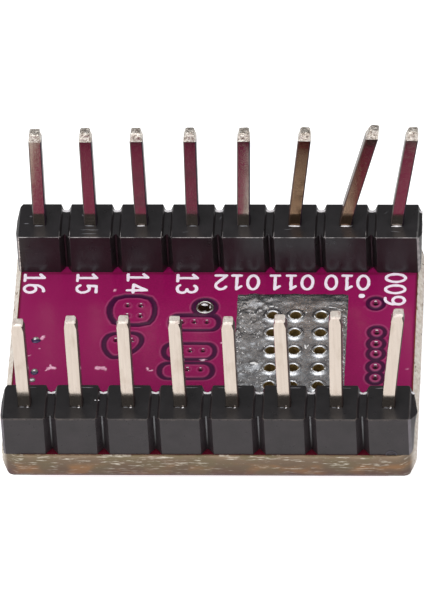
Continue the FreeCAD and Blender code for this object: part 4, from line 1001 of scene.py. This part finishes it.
LABELS = [
    ("16", (-9.18, 4.36), SIDEWAYS), ("15", (-6.56, 4.36), SIDEWAYS),
    ("14", (-4.04, 4.4), SIDEWAYS), ("13", (-1.56, 4.36), SIDEWAYS),
    ("009", (8.8, 3.97), SIDEWAYS), ("012", (0.92, 4.44), INVERTED),
    ("011", (3.62, 4.44), INVERTED), ("010", (6.4, 4.44), INVERTED),
]
LEGEND_DOT = [[(7.13, 3.5), (7.17, 3.5)]]


def label_strokes(text, centre, directions, height=0.97, gap=0.26):
    along, up = directions
    width = len(text) * (GLYPH_WIDTH + gap) - gap
    out = []
    for n, digit in enumerate(text):
        pen = n * (GLYPH_WIDTH + gap) - width / 2
        for stroke in GLYPHS[digit]:
            out.append([tuple(centre[i] + along[i] * (pen + x) * height
                              + up[i] * (y - .5) * height for i in (0, 1)) for x, y in stroke])
    return out


def legend(name, strokes, half_width, unevenness):
    """Raised ink along a set of strokes."""
    def inside(x, y):
        d = np.full(np.shape(x), 9.0)
        for line in strokes:
            for start, end in zip(line[:-1], line[1:]):
                d = np.minimum(d, segment_distance(x, y, start, end, least=1e-9))
        return half_width + unevenness * vnoise(x, y, 0.16, 21) - d

    points = np.array([p for line in strokes for p in line])
    lo, hi = points.min(0) - 0.2, points.max(0) + 0.2
    plate = sheet(name, np.arange(lo[0], hi[0], 0.035), np.arange(lo[1], hi[1], 0.035), inside,
                  lambda x, y: mask_top(x, y) + 0.014 + 0.003 * vnoise(x, y, 0.1, 22),
                  lambda x, y: mask_top(x, y) - 0.003, PLAIN["legend_ink"])


for n, label in enumerate(LABELS):
    legend("legend_%d" % (n + 1), label_strokes(*label), half_width=0.076, unevenness=0.012)
legend("legend_%d" % (len(LABELS) + 1), LEGEND_DOT, half_width=0.14, unevenness=0.0)

# ---------------------------------------------------------- header housings
BODY, WEB, CHAMFER = 0, 2, 3  # material indices; 1 is the pale edge made by the bevel, partly wear and partly a painted highlight
FACE_Y, WEB_Y = 1.193, 0.813  # half depths of a unit and of the web between units
RIM_X, DIP_X, WEB_X = 1.015, 1.11, 1.235  # from a pin: top face, groove foot, web
GROOVE_Z, BROKEN_Z = HOUSING_H - 0.15, 1.45
WELL, WELL_Z = 0.325, HOUSING_H - 0.35  # half width and floor of the well round a pin
# Outline of the cut -X end, front to back: x from the first pin, y from the row
CUT_END = [(-0.985, -FACE_Y), (-1.09, -1.1), (-1.16, -0.77), (-1.15, 0.13), (-1.06, 0.9),
           (-0.9, FACE_Y)]


def y_on_line(x, start, end):
    return start[1] + (x - start[0]) / (end[0] - start[0]) * (end[1] - start[1])


def foot(point):
    return (point[0], point[1], 0)


def housing_mesh(row_y, flat_x, ragged):
    """Points, faces and face materials of eight octagonal units joined by thin webs, with a
    groove across the top between units; the -X end is cut, the +X end has its broken web."""
    points, faces, kinds, seen = [], [], [], {}

    def vertex(x, y, z):
        key = (round(x, 4), round(y, 4), round(z, 4))
        if key not in seen:
            seen[key] = len(points)
            points.append((key[0], key[1] + row_y, key[2]))
        return seen[key]

    def face(*corners, kind=BODY):
        loop = [vertex(*p) for p in corners]
        loop = [i for k, i in enumerate(loop) if i != loop[k - 1]]
        if len(loop) > 2:
            faces.append(loop)
            kinds.append(kind)

    def slant_y(x):
        return y_on_line(x, (flat_x, FACE_Y), (WEB_X, WEB_Y))

    rim_y, dip_y = slant_y(RIM_X), slant_y(DIP_X)

    def side(xc, sign):
        """Rim, groove foot and web points of one side of a unit: front three, back three."""
        return [(xc + sign * x, y * end, z) for end in (-1, 1) for x, y, z in (
            (RIM_X, rim_y, HOUSING_H), (DIP_X, dip_y, GROOVE_Z), (WEB_X, WEB_Y, GROOVE_Z))]

    def cut_end(xc, front, back, rim_front, rim_back):
        """The -X end of the first unit; returns its outline points."""
        outline = []
        for x, y in CUT_END:
            drop = min(max((-x - RIM_X) / (DIP_X - RIM_X), 0), 1)
            outline.append((xc + x, y, HOUSING_H - 0.15 * drop))
        inner = [(xc - RIM_X, y, HOUSING_H) for x, y in CUT_END]
        inner[0], inner[-1] = rim_front, rim_back
        face(front, inner[0], outline[1])
        face(inner[0], inner[1], outline[1])
        for k in range(1, 4):
            face(inner[k], inner[k + 1], outline[k + 1], outline[k])
        face(inner[4], inner[5], outline[4])
        face(inner[5], back, outline[4])
        for k in range(5):
            a, b = outline[k], outline[k + 1]
            face(foot(b), foot(a), a, b, kind=BODY if k else CHAMFER)
        return outline

    def broken_web(xc, low_front, low_back):
        """The torn web at the +X end; returns its foot."""
        outline = [(xc + DIP_X, -dip_y), (xc + WEB_X, -WEB_Y)]
        outline += [(xc + x, y) for x, y in ragged]
        outline += [(xc + WEB_X, WEB_Y), (xc + DIP_X, dip_y)]
        top, middle, bottom = [], [], []
        for k, (x, y) in enumerate(outline):
            whole = k in (0, 1, len(outline) - 2, len(outline) - 1)
            out = x - xc - DIP_X
            top.append((x, y, GROOVE_Z - (0.0 if whole else 0.02 + 0.05 * (k % 2))))
            middle.append((xc + DIP_X + out * 0.55 + 0.02 * ((k * 7) % 3 - 1), y,
                           BROKEN_Z + 0.12 * ((k * 5) % 3 - 1)))
            bottom.append((xc + DIP_X + out * 0.22, y, 0))
        middle[0], middle[-1] = low_front, low_back
        hub = (xc + 1.2, 0.0, GROOVE_Z - 0.01)
        for k in range(len(top)):
            face(top[k], top[(k + 1) % len(top)], hub)
        for k in range(len(top) - 1):
            face(middle[k], middle[k + 1], top[k + 1])
            face(middle[k], top[k + 1], top[k])
            face(bottom[k], bottom[k + 1], middle[k + 1])
            face(bottom[k], middle[k + 1], middle[k])
        return bottom

    front_line, back_line = [], []  # the outline on the board
    for n, xc in enumerate(PIN_X):
        first, last = n == 0, n == 7
        rf, df, wf, rb, db, wb = side(xc, 1)  # right side: rim, dip, web; front, back
        left_rf, left_df, left_wf, left_rb, left_db, left_wb = side(xc, -1)
        fl = (xc + (CUT_END[0][0] if first else -flat_x), -FACE_Y, HOUSING_H)
        bl = (xc + (CUT_END[-1][0] if first else -flat_x), FACE_Y, HOUSING_H)
        fr, br = (xc + flat_x, -FACE_Y, HOUSING_H), (xc + flat_x, FACE_Y, HOUSING_H)
        if first:
            left_rf = (xc - RIM_X, y_on_line(-RIM_X, *CUT_END[:2]), HOUSING_H)
            left_rb = (xc - RIM_X, y_on_line(-RIM_X, *CUT_END[:-3:-1]), HOUSING_H)
        well = [(xc + sx * WELL, sy * WELL, HOUSING_H)
                for sx, sy in ((-1, -1), (1, -1), (1, 1), (-1, 1))]
        face(fl, fr, well[1], well[0])
        face(fr, rf, rb, br, well[2], well[1])
        face(br, bl, well[3], well[2])
        face(bl, left_rb, left_rf, fl, well[0], well[3])
        floor_ = [(x, y, WELL_Z) for x, y, _ in well]
        for k in range(4):
            q = (k + 1) % 4
            face(well[k], well[q], floor_[q], floor_[k])
        face(*floor_)
        face(foot(fl), foot(fr), fr, fl)
        face(foot(br), foot(bl), bl, br)
        face(rf, df, db, rb)
        if last:
            low_f, low_b = (*df[:2], BROKEN_Z), (*db[:2], BROKEN_Z)
            face(foot(fr), foot(df), low_f, df, rf, fr, kind=CHAMFER)
            face(foot(db), foot(br), br, rb, db, low_b)
        else:
            face(foot(fr), foot(wf), wf, df, rf, fr)
            face(foot(wb), foot(br), br, rb, db, wb)
        if first:
            outline = cut_end(xc, fl, bl, left_rf, left_rb)
            front_line, back_line = outline[:1], outline[:0:-1]
        else:
            face(left_rb, left_db, left_df, left_rf)
            face(foot(left_wf), foot(fl), fl, left_rf, left_df, left_wf)
            face(foot(bl), foot(left_wb), left_wb, left_db, left_rb, bl)
            front_line += [left_wf, fl]
            back_line = [bl, left_wb] + back_line
        if last:
            front_line += [fr] + broken_web(xc, low_f, low_b)
            back_line = [br] + back_line
        else:
            _, next_df, next_wf, _, next_db, next_wb = side(xc + PITCH, -1)
            face(df, wf, next_wf, next_df, next_db, next_wb, wb, db)
            face(foot(wf), foot(next_wf), next_wf, wf, kind=WEB)
            face(foot(next_wb), foot(wb), wb, next_wb)
            front_line += [fr, wf]
            back_line = [wb, br] + back_line
    face(*[foot(p) for p in front_line + back_line][::-1])
    return points, faces, kinds


def weigh_edges(obj, row_y, front, back, flank):
    """Faces the mesh outward and weighs its convex edges for the bevel."""
    bm = bmesh.new()
    bm.from_mesh(obj.data)
    bmesh.ops.recalc_face_normals(bm, faces=bm.faces)
    layer = bm.edges.layers.float.new("bevel_weight_edge")
    for edge in bm.edges:
        if len(edge.link_faces) != 2 or edge.calc_face_angle(0) < math.radians(20):
            continue
        f, g = edge.link_faces
        hollow = (g.calc_center_median() - f.calc_center_median()).dot(f.normal) > 0
        if hollow or WEB in (f.material_index, g.material_index):
            continue
        ys = [(v.co.y / MM) - row_y for v in edge.verts]
        zs = [v.co.z / MM for v in edge.verts]
        if max(zs) < 0.01:
            continue
        on_top = min(zs) > HOUSING_H - 0.001
        if on_top and max(ys) < -FACE_Y + 0.001:
            edge[layer] = front
        elif on_top and min(ys) > FACE_Y - 0.001:
            edge[layer] = back
        elif min(zs) > HOUSING_H - 0.16 and min(abs(y) for y in ys) < 0.4:
            edge[layer] = 0.08
        else:
            edge[layer] = flank
    bm.to_mesh(obj.data)
    bm.free()


def housing(key, flat_x, ragged, materials, weights):
    """Flat_x is half the flat front of a unit; ragged is the torn edge from the last pin."""
    points, faces, kinds = housing_mesh(ROWS[key], flat_x, ragged)
    obj = new_object("housing_" + key, points, faces, materials, shade=None)
    for poly, kind in zip(obj.data.polygons, kinds):
        poly.material_index = kind
    weigh_edges(obj, ROWS[key], **weights)
    bevel = obj.modifiers.new("edge_break", "BEVEL")
    bevel.width = 0.14 * MM
    bevel.segments = 3
    bevel.limit_method = "WEIGHT"
    bevel.material = 1
    bevel.use_clamp_overlap = True
    shade_mesh(obj.data, 30)
    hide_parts("header_housing_" + key)


housing("logic", flat_x=1.0,
        ragged=[(1.25, -.72), (1.262, -.5), (1.24, -.25), (1.255, 0), (1.235, .3),
                (1.225, .55), (1.21, .7)],
        materials=[LOGIC_PLASTIC, LOGIC_EDGE, LOGIC_PLASTIC, PLAIN["pale_chamfer"]],
        weights={"front": 0.22, "back": 0.3, "flank": 0.1})
housing("power", flat_x=0.955,
        ragged=[(1.33, -.72), (1.4, -.5), (1.42, -.38), (1.35, 0), (1.31, .3), (1.28, .5),
                (1.24, .7)],
        materials=[POWER_PLASTIC, POWER_EDGE, WEB_FRONT, PLAIN["dim_chamfer"]],
        weights={"front": 0.75, "back": 0.7, "flank": 0.16})


# ------------------------------------------------- small marks on the housings
def bars(name, items, material):
    """Short ridges with a sloped front, where the mould left a lip. Each item is
    (centre, full sizes, turn)."""
    section = [(-.5, 0), (-.1, .72), (.18, 1), (.5, 0)]  # shares of the depth and height
    steps = 7
    points, faces = [], []
    for (cx, cy, cz), (length, depth, height), turn in items:
        start = len(points)
        for k in range(steps):
            x = -length / 2 + length * k / (steps - 1)
            fade = math.sin(math.pi * (k + 0.6) / (steps + 0.2)) ** 0.5
            for y, z in section:
                points.append((*turned(cx, cy, x, depth * y, turn), cz + height * z * fade))
        faces += tube(start, steps, 4)
        end = start + 4 * (steps - 1)
        faces.append((start, start + 1, start + 2, start + 3))
        faces.append((end + 3, end + 2, end + 1, end))
    obj = new_object(name, points, faces, [material], 50)
    face_outward(obj)
    return obj


# Lips at the back of each groove, pale as a painted highlight on its back edge: X from its middle,
# Y from the row, drop below the top, length, slope
# length, slope
LIPS = {"logic": (.18, .84, .135, .42, .16), "power": (.15, .79, .16, .34, .25)}
# Single marks on the logic housing: x, y from the row, half sizes, turn
LOGIC_MARKS = [
    (-6.4, -.64, (.55, .02, .014), .03), (-6.35, -.93, (.42, .025, .016), .02),
    (-6.2, -.7, (.3, .014, .012), -.1), (-6.75, .35, (.03, .14, .012), .7),
    (8.35, .62, (.2, .02, .014), .9), (3.5, -.6, (.3, .015, .012), .08),
    (-9.55, -.22, (.15, .03, .016), 0), (-9.35, .3, (.08, .06, .014), 0),
    (8.8, -.75, (.35, .014, .012), -.15), (0.1, .2, (.12, .02, .012), 1.2),
    (-1.6, -.8, (.2, .012, .012), .1),
]
MARK_Z = HOUSING_H - 0.006


def lip_items(rng, key):
    across, back, drop, length, slope = LIPS[key]
    row_y = ROWS[key]
    items = []
    for n in range(7):
        middle = PIN_X[n] + PITCH / 2 + rng.uniform(-.02, .02)
        for sign in (-1, 1):
            items.append(((middle + sign * across, row_y + back, HOUSING_H - drop),
                          (length + rng.uniform(-.05, .03), 0.13, 0.07), sign * slope))
    items.append(((PIN_X[7] + 1.13, row_y + 0.8, HOUSING_H - 0.14), (0.24, 0.12, 0.07), -0.4))
    return items


def logic_marks(rng):
    """Marks in front of the pins and over the top of the logic housing: the dashes at the pin feet
    are painted highlights, pale for four pins and dimmer grey for the rest; the listed marks over
    the top are scratches.
    """
    shiny, dull = [], []
    for n in range(8):
        wide = n > 4
        place = (PIN_X[n] + rng.uniform(-.04, .04), ROW_Y - 0.37, MARK_Z)
        mark = (place, (0.2 + 0.07 * wide, 0.04 + 0.015 * wide, 0.04),
                rng.uniform(-.04, .04), 100 + n)
        (shiny if n in (2, 5, 6, 7) else dull).append(mark)
    for n, (x, y, sizes, turn) in enumerate(LOGIC_MARKS):
        dull.append(((x, ROW_Y + y, HOUSING_H - .008), sizes, turn, 210 + n))
    return shiny, dull


def power_marks(rng):
    """Painted highlights on the power housing: pale and grey specks in front of the pins, two pale
    specks on the top, and grey lines along its back top edge.
    """
    shiny, dull = [], []
    for n in range(8):
        shiny.append(((PIN_X[n] + 0.12 + rng.uniform(-.04, .04), -ROW_Y - 0.37, MARK_Z),
                      (0.055, 0.035, 0.03), 0.4, 130 + n))
        dull.append(((PIN_X[n] - 0.12, -ROW_Y - 0.36, MARK_Z), (0.12, 0.025, 0.025), 0, 140 + n))
    shiny += [((-5.45, -ROW_Y + 0.12, MARK_Z), (0.05, 0.035, 0.03), 0, 150),
              ((-5.28, -ROW_Y + 0.12, MARK_Z), (0.04, 0.035, 0.03), 0, 151)]
    for n in range(8):
        dull.append(((PIN_X[n] + rng.uniform(-.2, .2), -ROW_Y + 1.0, HOUSING_H - 0.01),
                     (0.62, 0.03, 0.03), rng.uniform(-.03, .03), 160 + n))
    return shiny, dull


marks_rng = np.random.default_rng(7)
for key, marks in (("logic", logic_marks), ("power", power_marks)):
    prefix = "housing_%s_" % key
    # Lips and shiny marks are painted highlights; the grey marks are scratches and dimmer painted
    # highlights.
    bars(prefix + "lips", lip_items(marks_rng, key), GLINT)
    shiny, dull = marks(marks_rng)
    pebbles(prefix + "glints", shiny, GLINT)
    pebbles(prefix + "marks", dull, PLAIN["web_face"])


def ridge(name, x, y, bottom, top, out, width, seed):
    """A scuffed, uneven burr up a vertical edge; out is the way it faces in plan."""
    rng = np.random.default_rng(seed)
    steps = 34
    points = []
    for k in range(steps):
        z = bottom + (top - bottom) * k / (steps - 1)
        w = width * rng.uniform(.25, 1.0) * (0.4 if k in (0, steps - 1) else 1)
        h = width * rng.uniform(.15, .5)
        for u, q in ((-w, -0.05), (-w * .4, h), (w * .5, h * .8), (w, -0.05)):
            points.append((x + out[1] * u + out[0] * q, y - out[0] * u + out[1] * q,
                           z + rng.uniform(-.01, .01)))
    end = 4 * steps
    faces = tube(0, steps, 4) + [(0, 1, 2, 3), (end - 1, end - 2, end - 3, end - 4)]
    obj = new_object(name, points, faces, [PLAIN["worn_corner"]], 40)
    face_outward(obj)


ridge("worn_edge_left", x=-9.9, y=ROW_Y - 1.16, bottom=0.04, top=HOUSING_H - 0.1,
      out=(-0.6, -0.8), width=0.075, seed=3)
ridge("worn_edge_right", x=9.985, y=ROW_Y - 0.99, bottom=0.1, top=HOUSING_H - 0.2,
      out=(0.75, -0.66), width=0.06, seed=5)


def gate_mark():
    """A raised half disc low on the front of the last power unit."""
    count = 15
    points = []
    for depth, grow in ((0.0, 1.0), (0.03, 0.97), (0.035, 0.8), (0.012, 0.7)):
        for k in range(count):
            t = math.pi * k / (count - 1)
            points.append((PIN_X[7] + 0.1 + 0.29 * math.cos(t) * grow, -ROW_Y - 1.19 - depth,
                           0.005 + 0.3 * math.sin(t) * grow))
    faces = tube(0, 4, count)
    faces += [list(range(3 * count, 4 * count)), list(range(count))[::-1]]
    obj = new_object("mould_gate_mark", points, faces, [PLAIN["gate_mark"]], 40)
    face_outward(obj)


gate_mark()

# --------------------------------------------------------------------- pins
PIN_FREE, PIN_HALF = 5.95, 0.32  # length above the plastic, half width
# How far each pin tip leans in x and y
LEAN = {
    "power": [(.01, -.42), (.03, -.2), (.03, -.2), (-.01, -.2), (.03, -.28), (.01, -.1),
              (.14, .15), (.65, .3)],
    "logic": [(.05, .2), (0, .22), (-.03, .25), (.09, .25), (.22, .28), (.73, .3),
              (1.58, .45), (.96, .35)],
}
# Cropped tip: distance below the end, half width
TIP = [(0.5, .32), (0.455, .318), (0.43, .308), (0.15, .25), (0.12, .238), (0.09, .243),
       (0.05, .242), (0.018, .222), (0.0, .17)]
# Corners of the wire: sign of x, sign of y, angle where the corner arc starts
WIRE_CORNERS = [(-1, -1, 180), (1, -1, 270), (1, 1, 0), (-1, 1, 90)]
TIP_DEPTH = {"logic": 0.47, "power": 0.16}  # how far down the tip material reaches
PIN_SEED = {"logic": 60, "power": 80}


def pin_stations():
    """(level, half width, share of the lean) up one pin."""
    low = -BOARD_T - 0.85
    stations = [(low, .2, 0.0), (low + .06, .27, 0.0), (low + .12, PIN_HALF, 0.0)]
    stations += [(z, PIN_HALF, 0.0) for z in (-BOARD_T, 0, HOUSING_H)]
    free = [(t, PIN_HALF) for t in (0.03, 0.07, 0.12, 0.18, 0.25, 0.34, 0.45, 0.57, 0.7, 0.82)]
    for t, half in free + [(1 - d / PIN_FREE, half) for d, half in TIP]:
        share = float(np.interp(t, [0, 0.03, 0.2, 0.925, 1], [0, 0.008, 0.15, 0.92, 1]))
        stations.append((HOUSING_H + PIN_FREE * t, half, share))
    return stations


def pin_points(x, y, lean, seed):
    """A square wire with rounded corners, bent at the plastic, with a cropped tip."""
    rng = np.random.default_rng(seed)
    stations = pin_stations()
    skew = rng.uniform(-.06, .06, 2)
    points = []
    for k, (z, half, share) in enumerate(stations):
        late = max(0, k - (len(stations) - len(TIP)) - 1) / len(TIP)  # above 0 in the tip
        cx = x + lean[0] * share + skew[0] * late * 0.5
        cy = y + lean[1] * share + skew[1] * late * 0.5
        r = 0.055 if half > .3 else 0.07
        half_x, half_y = [half * (1 + (rng.uniform(-.1, .06) if late > 0.3 else 0))
                          for _ in range(2)]
        for sx, sy, start in WIRE_CORNERS:
            for step in range(3):
                a = math.radians(start + 45 * step)
                points.append((cx + sx * (half_x - r) + r * math.cos(a),
                               cy + sy * (half_y - r) + r * math.sin(a),
                               z + (rng.uniform(-.022, .0) if late > .5 else 0)))
    return points


for key, row_y in ROWS.items():
    points, faces = [], []
    for n, x in enumerate(PIN_X):
        start = len(points)
        points += pin_points(x, row_y, LEAN[key][n], PIN_SEED[key] + n)
        faces += tube(start, (len(points) - start) // 12, 12)
        faces.append(list(range(start, start + 12))[::-1])
        faces.append(list(range(len(points) - 12, len(points))))
    pins = new_object("pins_" + key, points, faces, PIN_LOOKS[key], 12)
    for poly in pins.data.polygons:
        if poly.center.z > (HOUSING_H + PIN_FREE - TIP_DEPTH[key]) * MM:
            poly.material_index = 1
    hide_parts("header_pins_" + key)

# ------------------------------------------------- torn edges of the laminate
RIM_LEVELS = [-0.04, -0.08, -0.13, -0.2, -0.28, -0.36, -0.42, -0.46, -0.53, -0.6, -0.7, -0.8,
              -0.9, -1.0, -1.1, -1.16, -1.22, -1.28, -1.35, -1.42, -1.48, -1.53, -1.555]
RIM_STEP = 0.08


def board_outline():
    """Dense outline of the board: x, y and the outward direction."""
    path = rounded_box(-BOARD_X, -BOARD_Y, BOARD_X, BOARD_Y, 1.1, 1.1, steps=16)
    dense = []
    for p, q in zip(path, path[1:] + path[:1]):
        count = max(1, int(math.hypot(q[0] - p[0], q[1] - p[1]) / RIM_STEP))
        for k in range(count):
            t = k / count
            dense.append(tuple(a * (1 - t) + b * t for a, b in zip(p, q)))
    return dense


def rim_point(rng, along, z, x, y, nx, ny, end):
    """One point of the cut edge; end is 1 on the V-scored ends, 0 on the long sides."""
    depth = min(-z - 0.06, 1.54 + z)
    most_x = 9.86 + 0.31 * float(np.clip(depth / 0.36, 0, 1))
    tuck = 0.2 * (1 - float(np.clip((1.56 + z) / 0.24, 0, 1))) ** 0.7
    most_y = BOARD_Y - tuck
    uneven = (float(vnoise(along, z * 9, 0.35, 31)) * 0.5
              + float(vnoise(along, z * 30, 0.5, 32)) * 0.5)
    rough = 0.008 + 0.012 * uneven * (1 - end) + rng.uniform(0, .004)
    web = float(np.clip((depth - 0.3) / 0.1, 0, 1)) * end
    rough += web * (0.01 + 0.04 * float(vnoise(along, z * 6, 0.3, 33)))
    px, py = x + nx * rough, y + ny * rough
    if abs(px) > most_x:
        fray = 0.012 * uneven + 0.012 * float(vnoise(along, z * 20, 0.16, 34))
        px = math.copysign(most_x + fray, px)
    if abs(ny) > 0.05 and abs(py) > most_y + 0.012:
        py = math.copysign(most_y + 0.01 * uneven, py)
    if z > -0.05:
        z += 0.022 * max(0, float(vnoise(along, 3.0, 0.22, 35))) * (1 - end)
    return px, py, z


def board_cut_edges():
    """A thin skin on the board's cut edges: the sawn face of the long sides,
    and the V-scored ends with their torn glass."""
    rng = np.random.default_rng(77)
    outline = board_outline()
    ends = [float(smooth(0.7, 0.99, abs(nx))) for _, _, nx, _ in outline]
    points, faces, torn = [], [], []
    along = 0.0
    for place, end in zip(outline, ends):
        along += RIM_STEP
        for z in RIM_LEVELS:
            points.append(rim_point(rng, along, z, *place, end))
            torn.append(end)
    inner = len(points)
    for (x, y, nx, ny), end in zip(outline, ends):
        for z in (RIM_LEVELS[0] - 0.03, RIM_LEVELS[-1]):
            points.append((x - nx * 0.55, y - ny * 0.55, z))
            torn.append(end)
    rows = len(RIM_LEVELS)
    for i in range(len(outline)):
        j = (i + 1) % len(outline)
        a, b, inner_a, inner_b = i * rows, j * rows, inner + 2 * i, inner + 2 * j
        for k in range(rows - 1):
            faces.append((a + k, a + k + 1, b + k + 1, b + k))
        faces.append((inner_a, a, b, inner_b))
        faces.append((a + rows - 1, inner_a + 1, inner_b + 1, b + rows - 1))
        faces.append((inner_a + 1, inner_a, inner_b, inner_b + 1))
    obj = new_object("board_cut_edges", points, faces, [LAMINATE], 50)
    add_attribute(obj, "torn", torn)
    face_outward(obj)


board_cut_edges()


# -------------------------------------------------------------------- stage
def floor_material():
    """White floor, open from below so that the component side can be looked at."""
    look = new_look("floor_white")
    cloud = look.noise(look.coords((8, 8, 8)), scale=3.0, detail=3)
    camera_ray = look.new("LightPath").outputs["Is Camera Ray"]
    look.surface({
        "Base Color": look.ramp(cloud, (0.3, 0.58), (0.7, 0.62)),
        "Roughness": 0.9, "Specular IOR Level": 0.0, "Emission Color": (1, 1, 1),
        "Emission Strength": look.math("ADD", look.times(camera_ray, 0.5), 0.35)})
    open_below = look.new("MixShader")
    look.put(open_below.inputs[0], look.new("NewGeometry").outputs["Backfacing"])
    look.put(open_below.inputs[1], look.shader.outputs[0])
    look.put(open_below.inputs[2], look.new("BsdfTransparent").outputs[0])
    look.put(look.tree.nodes["Material Output"].inputs["Surface"], open_below.outputs[0])
    return look.owner


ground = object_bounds()[0].z
bpy.ops.mesh.primitive_plane_add(size=6, location=(0, 0, ground - 0.00001))
floor = bpy.context.active_object
floor.name = "floor"
floor.data.materials.append(floor_material())

# World: bright from -Y and overhead, dim from +Y, plain white to the camera
scene.world = bpy.data.worlds.new("studio")
sky = Look(scene.world, "Background")
sky_way = sky.split(sky.new("TexCoord").outputs["Generated"])
toward_back = sky.times(sky.math("ADD", sky_way["Y"], 1.0), 0.5)
sides_light = sky.ramp(toward_back, (0.36, 1.0), (0.62, 0.2))
dome = sky.mix(sky.ramp(sky_way["Z"], (0.86, 0), (0.96, 1)), sides_light, (1.25, 1.25, 1.25))
seen_by_camera = sky.new("LightPath").outputs["Is Camera Ray"]
sky.surface({"Color": sky.mix(seen_by_camera, dome, (1.0, 1.0, 1.0)), "Strength": 1.0})


def area_light(name, place, size, power):
    """A rectangular light aimed at the origin; metres and watts."""
    data = bpy.data.lights.new(name, "AREA")
    data.shape = "RECTANGLE"
    data.size, data.size_y = size
    data.energy = power
    light = bpy.data.objects.new(name, data)
    scene.collection.objects.link(light)
    light.location = place
    light.rotation_mode = "QUATERNION"
    light.rotation_quaternion = (-Vector(place)).to_track_quat("-Z", "Y")


area_light("key", place=(-0.08, -0.18, 0.42), size=(0.3, 0.22), power=0.55)
area_light("left", place=(-0.4, -0.1, 0.25), size=(0.25, 0.25), power=0.25)

# ------------------------------------------------------------------- camera
CAMERA_DISTANCE = 486.5588
CAMERA_AIM = Vector((-0.2757, 3.2004, 0))
AZIMUTH, ELEVATION, ROLL = (math.radians(angle) for angle in (5.0726, 44.4852, -3.4639))

back = Vector((math.sin(AZIMUTH) * math.cos(ELEVATION),
               -math.cos(AZIMUTH) * math.cos(ELEVATION), math.sin(ELEVATION)))
level_right = (-back).cross(Vector((0, 0, 1))).normalized()
level_up = level_right.cross(-back)
camera_right = level_right * math.cos(ROLL) + level_up * math.sin(ROLL)
camera_up = -level_right * math.sin(ROLL) + level_up * math.cos(ROLL)
camera_data = bpy.data.cameras.new("camera")
camera = bpy.data.objects.new("camera", camera_data)
scene.collection.objects.link(camera)
pose = Matrix((camera_right, camera_up, back)).transposed().to_4x4()
pose.translation = (CAMERA_AIM + back * CAMERA_DISTANCE) * MM
camera.matrix_world = pose
camera_data.sensor_width = 36.0
camera_data.lens = 588.447324
camera_data.clip_start, camera_data.clip_end = 0.05, 50
scene.camera = camera
scene.view_settings.view_transform = "Standard"
scene.view_settings.look = "None"
